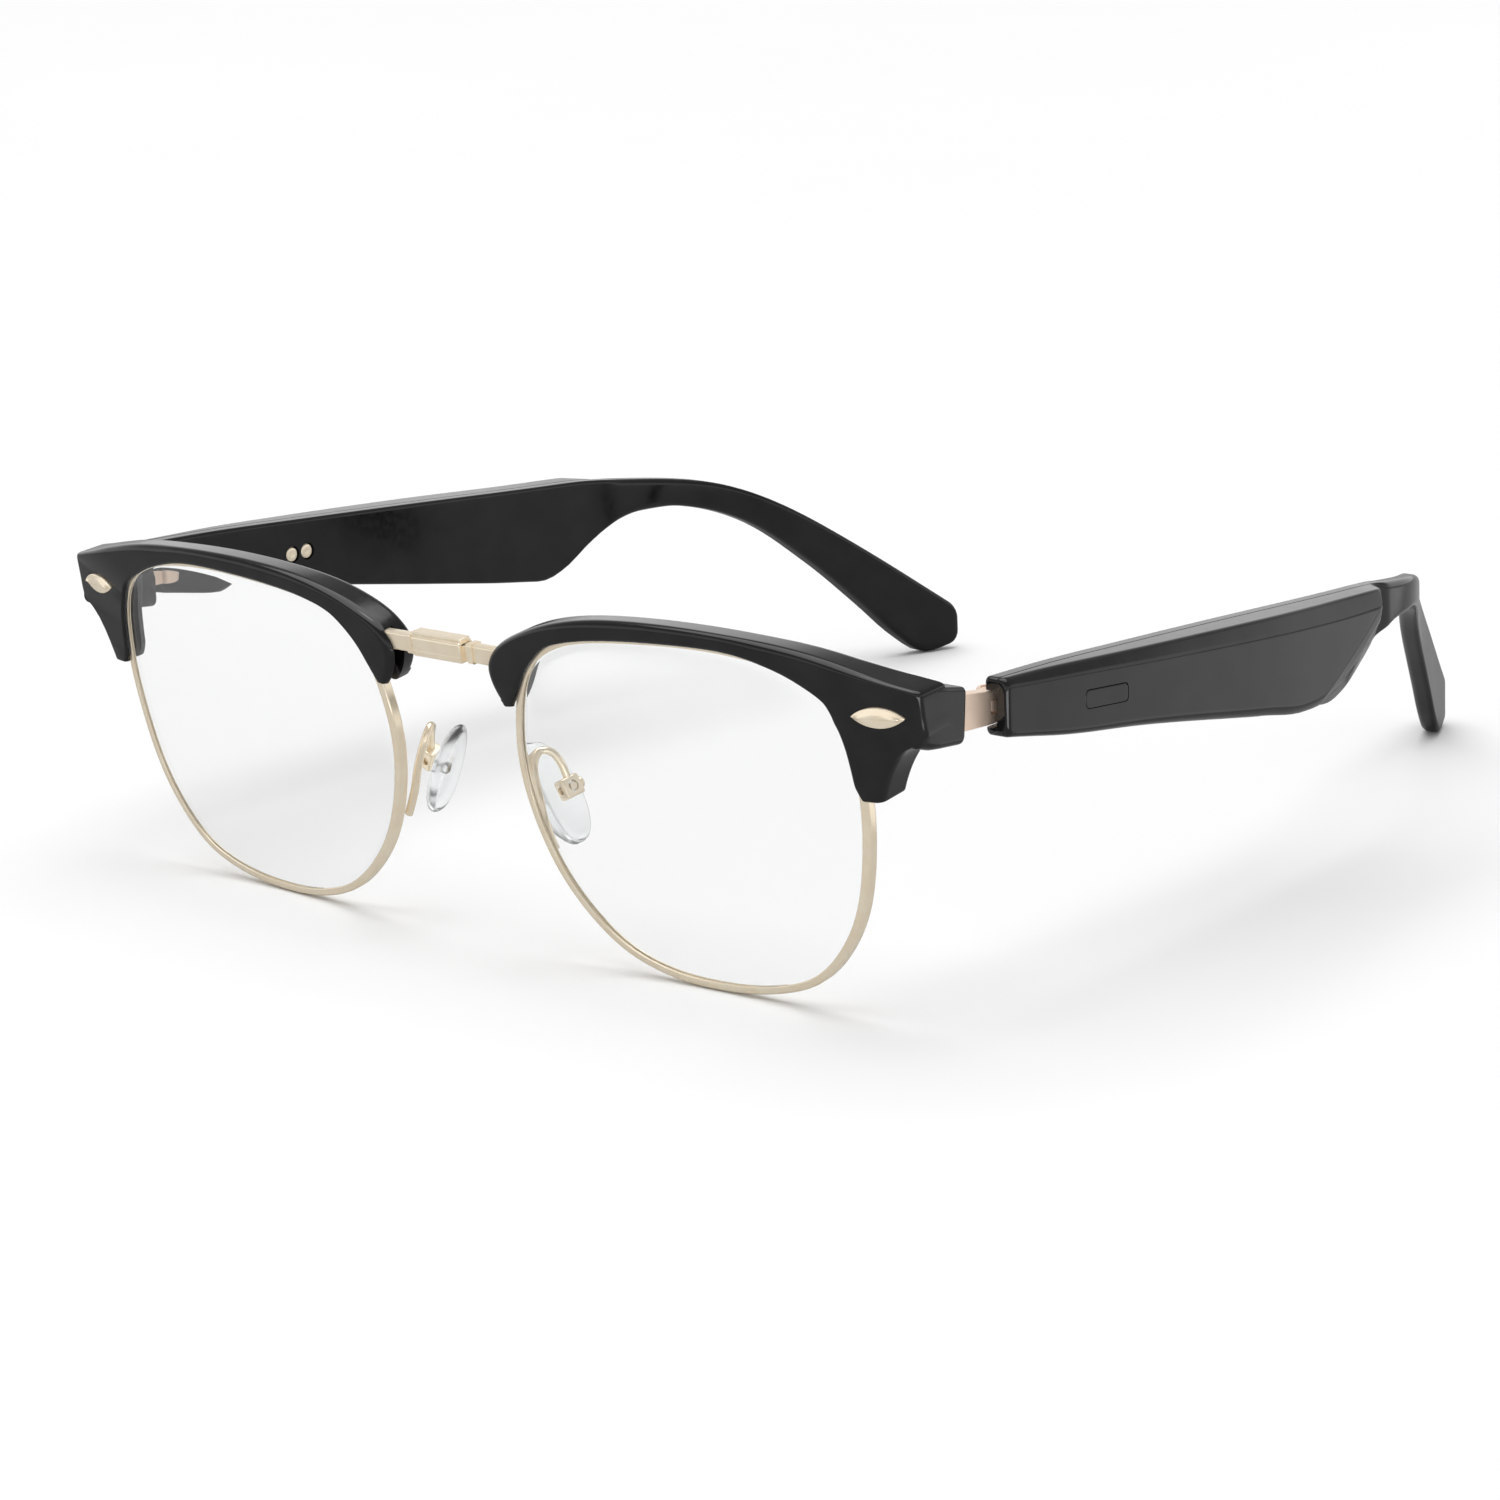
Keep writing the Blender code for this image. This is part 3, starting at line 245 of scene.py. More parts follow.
def gold(name, dark, light, low, high):
    """A plated gold: a metal mixed with a warm body colour, between two shades and two roughnesses."""
    paint = Paint(name)
    paint.set(Metallic=0.6)
    paint.colour(paint.ramp(paint.noise(420.0), [(0.3, dark), (0.7, light)]))
    paint.roughness(paint.spread(paint.noise(1500.0, 4.0), low, high))
    paint.bump(paint.noise(5200.0, 2.0), 0.06, 0.00002)
    return paint.material


def clear_lens():
    paint = Paint("clear_lens")
    paint.set(IOR=1.5, Base_Color=(0.965, 0.97, 0.97, 1.0), Transmission_Weight=1.0)
    paint.roughness(paint.spread(paint.noise(60.0), 0.0, 0.012))
    paint.let_lamps_through((0.94, 0.95, 0.95))
    return paint.material


def clear_silicone():
    paint = Paint("clear_silicone")
    paint.set(IOR=1.46, Base_Color=(0.93, 0.945, 0.95, 1.0), Transmission_Weight=1.0)
    paint.roughness(paint.spread(paint.noise(700.0), 0.11, 0.19))
    paint.bump(paint.noise(1100.0, 2.0), 0.08, 0.00003)
    paint.let_lamps_through((0.86, 0.88, 0.88))
    return paint.material


def grained_metal(name, scale, detail, dark, light, roughness, bump, distance=0.00002, stretch=None):
    """A bare metal whose shade, roughness and bumps follow one grain."""
    paint = Paint(name)
    paint.set(Metallic=1.0)
    grain = paint.noise(scale, detail, paint.stretched(stretch) if stretch else None)
    paint.colour(paint.ramp(grain, [(0.3, dark), (0.7, light)]))
    paint.roughness(paint.spread(grain, *roughness))
    paint.bump(grain, bump, distance)
    return paint.material


def board_green():
    paint = Paint("solder_mask_green")
    tracks = {"Color1": (0.015, 0.12, 0.05, 1), "Color2": (0.02, 0.17, 0.07, 1)}
    tracks |= {"Scale": 900.0, "Mortar": (0.30, 0.27, 0.09, 1), "Mortar Size": 0.03}
    brick = paint.node("ShaderNodeTexBrick", tracks)
    paint.link(paint.stretched((0.2, 1.0, 1.0)), brick.inputs["Vector"])
    paint.colour(brick.outputs["Color"])
    paint.roughness(paint.spread(paint.noise(1800.0), 0.35, 0.55))
    paint.bump(brick.outputs["Fac"], 0.15, 0.00004)
    return paint.material


def moulded_black(name, low, high):
    paint = Paint(name)
    grain = paint.noise(3200.0, 4.0)
    paint.colour(paint.ramp(grain, [(0.35, (low, low, low)), (0.65, (high, high, high))]))
    paint.roughness(paint.spread(grain, 0.42, 0.6))
    paint.bump(grain, 0.25, 0.00003)
    return paint.material


def floor_paper():
    paint = Paint("studio_paper")
    paint.set(Specular_IOR_Level=0.1)
    paint.colour(paint.ramp(paint.noise(3.0), [(0.3, (0.90, 0.90, 0.90)), (0.7, (0.915, 0.915, 0.915))]))
    paint.roughness(paint.spread(paint.noise(400.0), 0.8, 0.9))
    paint.dim_in_reflections(0.45)
    return paint.material


# ---------------------------------------------------------------- lines and rings


def smooth(knots, at):
    """A smooth value through (place, value) knots that never swings past them."""
    if at <= knots[0][0]:
        return knots[0][1]
    if at >= knots[-1][0]:
        return knots[-1][1]
    steps = [(b[0] - a[0], (b[1] - a[1]) / (b[0] - a[0])) for a, b in zip(knots, knots[1:])]
    slopes = [steps[0][1]]
    for (before, rise), (after, next_rise) in zip(steps, steps[1:]):
        if rise * next_rise <= 0:
            slopes.append(0.0)
            continue
        near, far = 2 * after + before, after + 2 * before
        slopes.append((near + far) / (near / rise + far / next_rise))
    slopes.append(steps[-1][1])
    i = max(k for k, knot in enumerate(knots) if knot[0] <= at)
    width = steps[i][0]
    t = (at - knots[i][0]) / width
    return (
        knots[i][1] * (1 + 2 * t) * (1 - t) ** 2
        + slopes[i] * width * t * (1 - t) ** 2
        + knots[i + 1][1] * t * t * (3 - 2 * t)
        + slopes[i + 1] * width * t * t * (t - 1)
    )


def softened(knots, at, reach):
    """The smooth line averaged over a short stretch, so that its bends carry no kink."""
    weights = ((-1.0, 1), (-0.5, 2), (0.0, 3), (0.5, 2), (1.0, 1))
    low, high = knots[0][0], knots[-1][0]
    reach = max(0.0, min(reach, at - low, high - at))
    return sum(weight * smooth(knots, at + share * reach) for share, weight in weights) / 9.0


def spline(points, steps, closed):
    """Points along a Catmull-Rom curve through the given ones, of any dimension."""
    count = len(points)
    found = []
    for i in range(count if closed else count - 1):
        if closed:
            a, b, c, d = (points[(i + k) % count] for k in (-1, 0, 1, 2))
        else:
            a, b, c, d = (points[min(max(i + k, 0), count - 1)] for k in (-1, 0, 1, 2))
        for k in range(steps):
            t = k / steps
            found.append(
                tuple(
                    q + 0.5 * t * (r - p + t * (2 * p - 5 * q + 4 * r - s + t * (3 * (q - r) + s - p)))
                    for p, q, r, s in zip(a, b, c, d)
                )
            )
    return found if closed else found + [tuple(points[-1])]


def relaxed(points, rounds, closed):
    """Points eased towards the middle of their neighbours, to even out the bend."""
    for _ in range(rounds):
        eased = []
        for i, point in enumerate(points):
            if not closed and i in (0, len(points) - 1):
                eased.append(point)
                continue
            before, after = points[i - 1], points[(i + 1) % len(points)]
            eased.append(tuple(0.25 * a + 0.5 * b + 0.25 * c for a, b, c in zip(before, point, after)))
        points = eased
    return points


def inset(outline, distance):
    """A closed anticlockwise (x, v) outline moved inwards by a distance."""
    moved = []
    for i, (x, v) in enumerate(outline):
        before, after = outline[i - 1], outline[(i + 1) % len(outline)]
        along = Vector((after[0] - before[0], after[1] - before[1])).normalized()
        moved.append((x - along.y * distance, v + along.x * distance))
    return moved


def rounded(points, reaches, steps=4):
    """A closed polygon whose corners are eased over a given reach along both edges."""
    ring = []
    for i, corner in enumerate(points):
        reach = reaches[i]
        corner = Vector(corner)
        before, after = Vector(points[i - 1]), Vector(points[(i + 1) % len(points)])
        if not reach:
            ring.append(tuple(corner))
            continue
        start = corner + (before - corner).normalized() * min(reach, 0.48 * (before - corner).length)
        end = corner + (after - corner).normalized() * min(reach, 0.48 * (after - corner).length)
        for k in range(steps + 1):
            t = k / steps
            weight = 0.8 * 2 * t * (1 - t)
            total = (1 - t) ** 2 + weight + t * t
            ring.append(tuple((start * (1 - t) ** 2 + corner * weight + end * t * t) / total))
    return ring


def rectangle(a0, a1, b0, b1):
    return [(a0, b0), (a1, b0), (a1, b1), (a0, b1)]


def evenly(start, end, count):
    """Places from start to end, with the given number of equal steps between them."""
    return [start + (end - start) * k / count for k in range(count + 1)]


LENS_MIDDLE = (36.0, 23.0)
WRAP_SLOPE = 0.052
WRAP_CURVE = 0.001
CORNER_START_X = 62.0  # where the brow begins to turn into its corner
CORNER_SWEEP = 0.012


def wrap(x):
    """How far the front's surface lies back at x."""
    out = abs(x) - LENS_MIDDLE[0]
    return WRAP_SLOPE * out + WRAP_CURVE * out * out


def brow_wrap(x):
    return wrap(x) + CORNER_SWEEP * max(0.0, abs(x) - CORNER_START_X) ** 2


# ---------------------------------------------------------------- meshes and pieces


def loft(rings, closed=False):
    bm = bmesh.new()
    rows = [[bm.verts.new(point) for point in ring] for ring in rings]
    for row, following in zip(rows, rows[1:] + rows[:1] if closed else rows[1:]):
        for i in range(len(row)):
            j = (i + 1) % len(row)
            bm.faces.new((row[i], row[j], following[j], following[i]))
    if not closed:
        bm.faces.new(rows[0])
        bm.faces.new(rows[-1])
    bmesh.ops.recalc_face_normals(bm, faces=bm.faces)
    return bm


def round_end(ring, direction, depth, steps=5):
    """Rings that close a section with a rounded end, from the section outwards."""
    middle = sum((Vector(point) for point in ring), Vector()) / len(ring)
    out = Vector(direction).normalized() * depth
    rings = []
    for k in range(1, steps + 1):
        angle = 0.97 * math.pi / 2 * k / steps
        share, push = math.cos(angle), out * math.sin(angle)
        rings.append([tuple(middle + (Vector(point) - middle) * share + push) for point in ring])
    return rings


def box(x, y, z):
    bm = bmesh.new()
    bmesh.ops.create_cube(bm, size=1.0)
    for vert in bm.verts:
        vert.co = [(low + high) / 2 + share * (high - low) for share, (low, high) in zip(vert.co, (x, y, z))]
    return bm


def turned(profile, centre, axis, segments=40):
    """A solid turned round an axis through a centre; the profile is (radius, along) pairs from end to end."""
    turn = Vector(axis).to_track_quat("Z", "Y").to_matrix()
    rings = []
    for radius, along in profile:
        ring = []
        for i in range(segments):
            angle = 2 * math.pi * i / segments
            point = Vector((radius * math.cos(angle), radius * math.sin(angle), along))
            ring.append(tuple(Vector(centre) + turn @ point))
        rings.append(ring)
    return loft(rings)


def ring_groove(centre, axis, radii, reach, segments=32):
    """A ring round an axis, between two radii and two places along it, to cut a round groove with."""
    turn = Vector(axis).to_track_quat("Z", "Y").to_matrix()
    rings = []
    for i in range(segments):
        angle = 2 * math.pi * i / segments
        corners = rectangle(*radii, *reach)
        rings.append(
            [
                tuple(Vector(centre) + turn @ Vector((r * math.cos(angle), r * math.sin(angle), along)))
                for r, along in corners
            ]
        )
    return loft(rings, closed=True)


def button(radius, low, high, edge, steps=4):
    """The profile of a round piece with eased edges, for turned()."""
    profile = [(0.02, low)]
    for k in range(steps + 1):
        angle = math.pi / 2 * k / steps
        profile.append((radius - edge + edge * math.sin(angle), low + edge - edge * math.cos(angle)))
    for k in range(steps + 1):
        angle = math.pi / 2 * k / steps
        profile.append((radius - edge + edge * math.cos(angle), high - edge + edge * math.sin(angle)))
    return profile + [(0.02, high)]


def bevel(bm, width, segments=3):
    """Eases every edge that turns by more than 30 degrees."""
    bm.normal_update()
    edges = [
        edge
        for edge in bm.edges
        if len(edge.link_faces) == 2 and edge.calc_face_angle() > math.radians(30.0)
    ]
    bmesh.ops.bevel(
        bm, geom=edges, offset=width, segments=segments, profile=0.5, affect="EDGES", clamp_overlap=True
    )
    return bm


def placed(bm, side=1, front=False):
    """Takes a mesh from the design's millimetres to the row's metres, on its side."""
    sin, cos = math.sin(LEAN), math.cos(LEAN)
    for vert in bm.verts:
        x, y, z = vert.co
        if front:
            y, z = FRONT_FOOT_Y + y * cos - z * sin, y * sin + z * cos
        vert.co = Vector((side * x, y - MIDDLE_Y, z)) * MM
    if side < 0:
        bmesh.ops.reverse_faces(bm, faces=bm.faces)
    return bm


def new_object(name, bm):
    mesh = bpy.data.meshes.new(name)
    bm.to_mesh(mesh)
    bm.free()
    thing = bpy.data.objects.new(name, mesh)
    bpy.context.scene.collection.objects.link(thing)
    return thing


def triangulate(mesh):
    bm = bmesh.new()
    bm.from_mesh(mesh)
    bmesh.ops.triangulate(bm, faces=bm.faces)
    bm.to_mesh(mesh)
    bm.free()


def carve(thing, joined, cutters):
    """Joins and cuts with exact Booleans, and keeps only the result."""
    for other in (thing, *joined, *cutters):
        triangulate(other.data)
    for operation, others in (("UNION", joined), ("DIFFERENCE", cutters)):
        for other in others:
            modifier = thing.modifiers.new("carve", "BOOLEAN")
            modifier.operation = operation
            modifier.solver = "EXACT"
            modifier.object = other
    bpy.context.view_layer.update()
    graph = bpy.context.evaluated_depsgraph_get()
    result = bpy.data.meshes.new_from_object(thing.evaluated_get(graph))
    thing.modifiers.clear()
    old = thing.data
    thing.data = result
    result.name = thing.name
    bpy.data.meshes.remove(old)
    for other in (*joined, *cutters):
        bpy.data.objects.remove(other, do_unlink=True)


def cut(thing, meshes, side, front=False, joined=()):
    """Carves meshes, drawn in the design's millimetres, out of a piece."""
    carve(thing, joined, [new_object("cutter", placed(bm, side, front)) for bm in meshes])


def dress(thing, body, nodes, material, sharp=35.0):
    """Shades a piece, hangs it on the body it rides on, and hides the CAD parts that it stands for."""
    mesh = thing.data
    mesh.materials.clear()
    mesh.materials.append(MATERIALS[material])
    mesh.shade_smooth()
    mesh.set_sharp_from_angle(angle=math.radians(sharp))
    weighted = thing.modifiers.new("weighted_normals", "WEIGHTED_NORMAL")
    weighted.keep_sharp = True
    weighted.weight = 80
    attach(thing, body)
    if nodes:
        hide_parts(*nodes)
    return thing


def merged(*meshes):
    """One mesh of several."""
    whole = meshes[0]
    for other in meshes[1:]:
        carrier = bpy.data.meshes.new("carrier")
        other.to_mesh(carrier)
        other.free()
        whole.from_mesh(carrier)
        bpy.data.meshes.remove(carrier)
    return whole


# ---------------------------------------------------------------- the front

RIM_OUTLINE = (
    (38.0, 0.0), (46.5, 0.9), (54.2, 4.0), (60.3, 12.0), (62.9, 22.5), (63.1, 31.5), (61.0, 39.0),
    (55.0, 43.3), (45.0, 45.0), (33.0, 44.8), (21.5, 43.4), (14.6, 39.6), (11.4, 33.0), (10.5, 23.2),
    (14.2, 11.9), (21.6, 3.9), (29.5, 0.7),
)  # fmt: skip
RIM_LINE = relaxed(spline(RIM_OUTLINE, 12, closed=True), 14, closed=True)
RIM_FRONT = 0.2
RIM_DEPTH = 1.6
RIM_WIDTH = 1.05


def build_rim(word, side):
    rear = RIM_FRONT + RIM_DEPTH
    corners = [
        (0.0, RIM_FRONT), (RIM_WIDTH, RIM_FRONT), (RIM_WIDTH, RIM_FRONT + 0.45),
        (RIM_WIDTH - 0.45, RIM_FRONT + 0.45), (RIM_WIDTH - 0.45, rear - 0.45),
        (RIM_WIDTH, rear - 0.45), (RIM_WIDTH, rear), (0.0, rear),
    ]  # fmt: skip
    profile = rounded(corners, (0.38, 0.16, 0.06, 0, 0, 0.06, 0.16, 0.38), 5)
    lines = [(inset(RIM_LINE, distance), depth) for distance, depth in profile]
    rings = [
        [(line[i][0], depth + wrap(line[i][0]), line[i][1]) for line, depth in lines]
        for i in range(len(RIM_LINE))
    ]
    rim = new_object(f"rim_wire_{word}", placed(loft(rings, closed=True), side, front=True))
    dress(rim, "front", [f"rim_{word}"], "gold", sharp=50)


def build_lens(word, side):
    """A plate with a gently domed face; its edge thins to the tongue that sits in the rim."""
    middle = RIM_FRONT + RIM_DEPTH / 2
    edge = ((1.2, 0.70), (1.0, 0.62), (0.72, 0.22), (0.68, 0.12))
    shares = (0.12, 0.3, 0.45, 0.6, 0.74, 0.86, 0.95)

    def ring(distance, share, offset):
        x0, v0 = LENS_MIDDLE
        bulge = 0.35 * (1 - share * share)
        found = []
        for x, v in inset(RIM_LINE, distance):
            x, v = x0 + share * (x - x0), v0 + share * (v - v0)
            found.append((x, middle + offset - bulge + wrap(x), v))
        return found

    front = [ring(1.2, share, -0.75) for share in shares]
    front += [ring(distance, 1.0, -offset) for distance, offset in edge]
    rear = [ring(1.2, share, 0.75) for share in shares]
    rear += [ring(distance, 1.0, offset) for distance, offset in edge]
    lens = new_object(f"lens_plate_{word}", placed(loft(front + rear[::-1]), side, front=True))
    dress(lens, "front", [f"lens_{word}"], "lens", sharp=25)


BROW_SECTIONS = (
    (10.1, 33.35, 11.6, 33.5), (9.2, 34.4, 12.2, 34.4), (8.3, 36.3, 13.2, 36.1), (8.2, 38.4, 14.3, 37.9),
    (9.7, 40.5, 16.0, 39.8), (12.7, 42.4, 18.6, 41.8), (18.5, 44.7, 22.3, 42.9), (26.0, 46.25, 27.5, 43.7),
    (35.5, 46.85, 35.5, 44.3), (46.0, 46.65, 46.0, 44.4), (55.2, 45.8, 53.0, 42.9),
    (62.0, 44.45, 57.0, 41.2), (67.3, 42.95, 59.3, 39.8), (70.4, 42.1, 60.1, 38.6),
    (71.7, 41.65, 60.4, 37.9), (71.97, 40.9, 60.6, 37.3), (71.97, 38.6, 61.1, 36.2),
    (71.9, 35.9, 61.6, 34.4), (69.3, 34.6, 61.9, 32.6),
    (67.5, 32.2, 62.1, 30.9), (66.4, 29.8, 62.3, 29.6), (65.8, 28.2, 63.0, 28.2),
)  # fmt: skip
BROW_FRONT = -0.6
BROW_REAR = 4.0
CORNER_RUN = 7.0
LEG_TOP = 34.0
LEG_SHARE = 0.6
BROW_EASE = (0.55, 1.25, 0.9, 0.5)  # inner front, outer front, outer rear, inner rear
CORNER_EASE = (0.5, 0.7, 0.15, 0.4)


def brow_rings():
    rings = []
    sections = relaxed(spline(BROW_SECTIONS, 8, closed=False), 6, closed=False)
    for outer_x, outer_v, inner_x, inner_v in sections:
        across = Vector((outer_x - inner_x, outer_v - inner_v))
        width = across.length
        across.normalize()
        share = min(1.0, max(0.0, (outer_x - CORNER_START_X) / CORNER_RUN))
        if outer_v <= LEG_TOP:
            share = LEG_SHARE
        reaches = [
            min((1 - share) * along_top + share * corner, 0.45 * width)
            for along_top, corner in zip(BROW_EASE, CORNER_EASE)
        ]
        ring = []
        for a, w in rounded(rectangle(0.0, width, BROW_FRONT, BROW_REAR), reaches, 6):
            x = inner_x + across.x * a
            fall = 0.2 * (w - BROW_FRONT) * max(0.0, across.y) * a / width
            ring.append((x, w + brow_wrap(x), inner_v + across.y * a - fall))
        rings.append(ring)
    nose_end = round_end(rings[0], (0.25, 0.0, -1.0), 0.4)
    leg_end = round_end(rings[-1], (-0.1, 0.0, -1.0), 0.4)
    return nose_end[::-1] + rings + leg_end


END_BLOCK_X = (64.3, 72.0)
END_BLOCK_Y = (2.0, 9.5)
END_BLOCK_Z = (34.75, 41.45)
END_BLOCK_RISE = 0.9
END_BLOCK_TILT = math.radians(-5.5)


def end_block(side):
    (x0, x1), (start, end), (z0, z1) = END_BLOCK_X, END_BLOCK_Y, END_BLOCK_Z
    middle = Vector(((x0 + x1) / 2, start, (z0 + z1) / 2))
    rings = []
    marks = [(start, 0.35), (start + 1.5, 0.05), (start + 3.0, 0.0)]
    for k in range(6):
        angle = math.pi / 2 * k / 5
        marks.append((end - 0.7 + 0.7 * math.sin(angle), 0.7 - 0.7 * math.cos(angle)))
    for at, shrink in marks:
        rise = END_BLOCK_RISE * (end - at) / (end - start)
        corners = rectangle(x0 + shrink, x1 - shrink, z0 + shrink, z1 + rise - shrink)
        rings.append([(x, at, z) for x, z in rounded(corners, (0.7, 1.0, 0.6, 0.7), 5)])
    bm = loft(rings)
    tilt = Matrix.Rotation(END_BLOCK_TILT, 4, "X")
    bmesh.ops.transform(
        bm, matrix=Matrix.Translation(middle) @ tilt @ Matrix.Translation(-middle), verts=bm.verts
    )
    return new_object("end_block", placed(bm, side))


def hinge_stem(grow, rear):
    """The bar that reaches from the brow to the hinge."""
    inside, outside = HINGE.x - 0.5 - grow, HINGE.x + 1.4 + grow
    rings = []
    for y, bottom, top in ((6.4 - grow, 35.6, 40.2), (14.2, 35.1, 39.1), (rear, 35.1, 39.1)):
        rings.append([(x, y, z) for x, z in rectangle(inside, outside, bottom - grow, top + grow)])
    return loft(rings)


RIVET_CENTRE = (66.5, 38.55)


def almond(length, height, count=25):
    """An outline of two arcs that meet in points at its ends, round its middle."""
    half, rise = length / 2, height / 2
    radius = (half * half + rise * rise) / (2 * rise)
    reach = math.asin(half / radius)
    arc = [reach * (1 - 2 * i / (count - 1)) for i in range(count)]
    upper = [(radius * math.sin(a), radius * math.cos(a) - radius + rise) for a in arc]
    return upper + [(-a, -b) for a, b in upper[1:-1]]


def rivet_layer(length, height, depth):
    x, v = RIVET_CENTRE
    return [(x + a, BROW_FRONT + depth + brow_wrap(x + a), v + b) for a, b in almond(length, height)]


def build_brow(word, side):
    brow = new_object(f"brow_cover_{word}", placed(loft(brow_rings()), side, front=True))
    gap = 0.08
    rear = RIM_FRONT + RIM_DEPTH + gap
    outer, inner = inset(RIM_LINE, -gap), inset(RIM_LINE, 5.0)
    corners = ((0, RIM_FRONT - gap), (1, RIM_FRONT - gap), (1, rear), (0, rear))
    rings = [
        [(pair[i][0], depth + wrap(pair[i][0]), pair[i][1]) for i, depth in corners]
        for pair in zip(outer, inner)
    ]
    back = wrap(13.6)
    rivet_bed = [rivet_layer(6.9, 2.7, -2.0), rivet_layer(6.9, 2.7, 0.45)]
    lock_back = wrap(63.5)
    cutters = [
        placed(loft(rings, closed=True), side, front=True),
        placed(box((5.0, 13.6), (0.2 + back, 1.8 + back), (31.5, 40.3)), side, front=True),
        placed(box((62.5, 65.35), (0.75 + lock_back, 7.0), (31.05, 35.55)), side, front=True),
        placed(loft(rivet_bed), side, front=True),
        placed(hinge_stem(0.06, HINGE.y), side),
    ]  # the rim's channel, the bridge's notch, the lock's bed, the rivet's bed and the hinge's bed
    carve(brow, [end_block(side)], [new_object("cutter", bm) for bm in cutters])
    dress(brow, "front", [f"brow_{word}"], "black")


def build_rivet(word, side):
    """A gold almond with a ridge along its middle and a fine step round its foot."""
    layers = (
        (6.7, 2.5, 0.4), (6.7, 2.5, 0.06), (6.62, 2.42, 0.0), (6.42, 2.22, -0.03), (6.0, 1.5, -0.17),
        (5.7, 0.9, -0.27), (5.5, 0.35, -0.34), (5.4, 0.1, -0.36),
    )  # fmt: skip
    rings = [rivet_layer(*layer) for layer in layers]
    rivet = new_object(f"rivet_almond_{word}", placed(loft(rings), side, front=True))
    dress(rivet, "front", [f"rivet_{word}"], "gold", sharp=40)


BRIDGE_DEPTH = (-0.6, 1.9)
BRIDGE_HEIGHT = (37.8, 40.5)
BRIDGE_HALF = 4.2
STRIP_HEIGHT = (39.9, 40.9)
LINK_X = (3.2, 12.4)
LINK_DEPTH = (0.3, 1.7)
LINK_HEIGHT = (37.8, 40.2)
COLLAR_X = (4.75, 5.6)


def build_bridge():
    """A plate with a raised strip along its top and a narrower link to each rim."""
    back = wrap(0.0)
    front, rear = BRIDGE_DEPTH[0] + back, BRIDGE_DEPTH[1] + back
    plate = rounded(rectangle(front, rear, *BRIDGE_HEIGHT), (0.45,) * 4, 5)
    ends = [(-BRIDGE_HALF, 0.25), (-4.1, 0.08), (-3.95, 0.0), (3.95, 0.0), (4.1, 0.08), (BRIDGE_HALF, 0.25)]
    middle_w, middle_v = 0.65 + back, 39.15
    rings = []
    for x, shrink in ends:
        wide, tall = 1 - shrink / 1.25, 1 - shrink / 1.35
        ring = [(x, middle_w + wide * (w - middle_w), middle_v + tall * (v - middle_v)) for w, v in plate]
        rings.append(ring)
    strip = bevel(box((-BRIDGE_HALF, BRIDGE_HALF), (front + 0.35, rear - 0.4), STRIP_HEIGHT), 0.14)
    groove = rounded(rectangle(-0.66 + back, 0.5 + back, 38.3, 38.75), (0.1,) * 4, 3)
    parts = [loft(rings), strip, loft([[(x, w, v) for w, v in groove] for x in (-4.0, 4.0)])]
    link = rounded(rectangle(*LINK_DEPTH, *LINK_HEIGHT), (0.4,) * 4, 5)
    collar = rounded(rectangle(0.05, 1.95, 37.75, 40.3), (0.3,) * 4, 4)
    for side in (1, -1):
        for section, places in ((link, evenly(*LINK_X, 8)), (collar, COLLAR_X)):
            rings = [[(side * x, w + wrap(side * x), v) for w, v in section] for x in places]
            parts.append(loft(rings))
    bridge = new_object("bridge_bar", placed(merged(*parts), 1, front=True))
    dress(bridge, "front", ["bridge"], "gold", sharp=40)


def build_rim_lock(word, side):
    """The split block on the rim and the screw that closes it round the lens."""
    back = wrap(63.5)
    depth = (0.9 + back, 3.6 + back)
    block = bevel(box((63.5, 65.2), depth, (31.2, 35.4)), 0.12)
    lock = new_object(f"rim_lock_block_{word}", placed(block, side, front=True))
    split = box((62.0, 67.0), (depth[0] - 1, depth[1] + 1), (33.25, 33.4))
    centre = (64.35, sum(depth) / 2)
    bore = turned([(0.6, 30.0), (0.6, 37.0)], (*centre, 0.0), (0, 0, 1), 24)
    cut(lock, (split, bore), side, front=True)
    dress(lock, "front", [f"rim_lock_{word}"], "gold")
    screw = turned(button(0.5, 31.4, 35.2, 0.08), (*centre, 0.0), (0, 0, 1), 24)
    head = turned(button(0.75, 31.22, 31.7, 0.12), (*centre, 0.0), (0, 0, 1), 28)
    whole = new_object(f"rim_screw_turned_{word}", placed(merged(screw, head), side, front=True))
    dress(whole, "front", [f"rim_screw_{word}"], "steel")


# ---------------------------------------------------------------- nose pads

PAD_CENTRE = Vector((10.0, 6.95, 19.95))
PAD_LONG = Vector((-0.44, -0.10, 0.893)).normalized()
PAD_NORMAL = Vector((0.895, -0.129, 0.426)).normalized()
PAD_PIVOT = 2.5
PAD_ARM = (
    (13.2, 2.86, 14.4), (11.75, 2.75, 17.6), (10.95, 2.75, 20.6), (9.9, 3.1, 24.0), (9.85, 4.2, 25.8),
    (10.6, 5.4, 25.6), (11.5, 6.0, 24.4), (12.1, 6.45, 22.3),
)  # fmt: skip


def pad_place():
    across = PAD_LONG.cross(PAD_NORMAL).normalized()
    turn = Matrix((across.cross(PAD_LONG), across, PAD_LONG)).transposed().to_4x4()
    return Matrix.Translation(PAD_CENTRE) @ turn


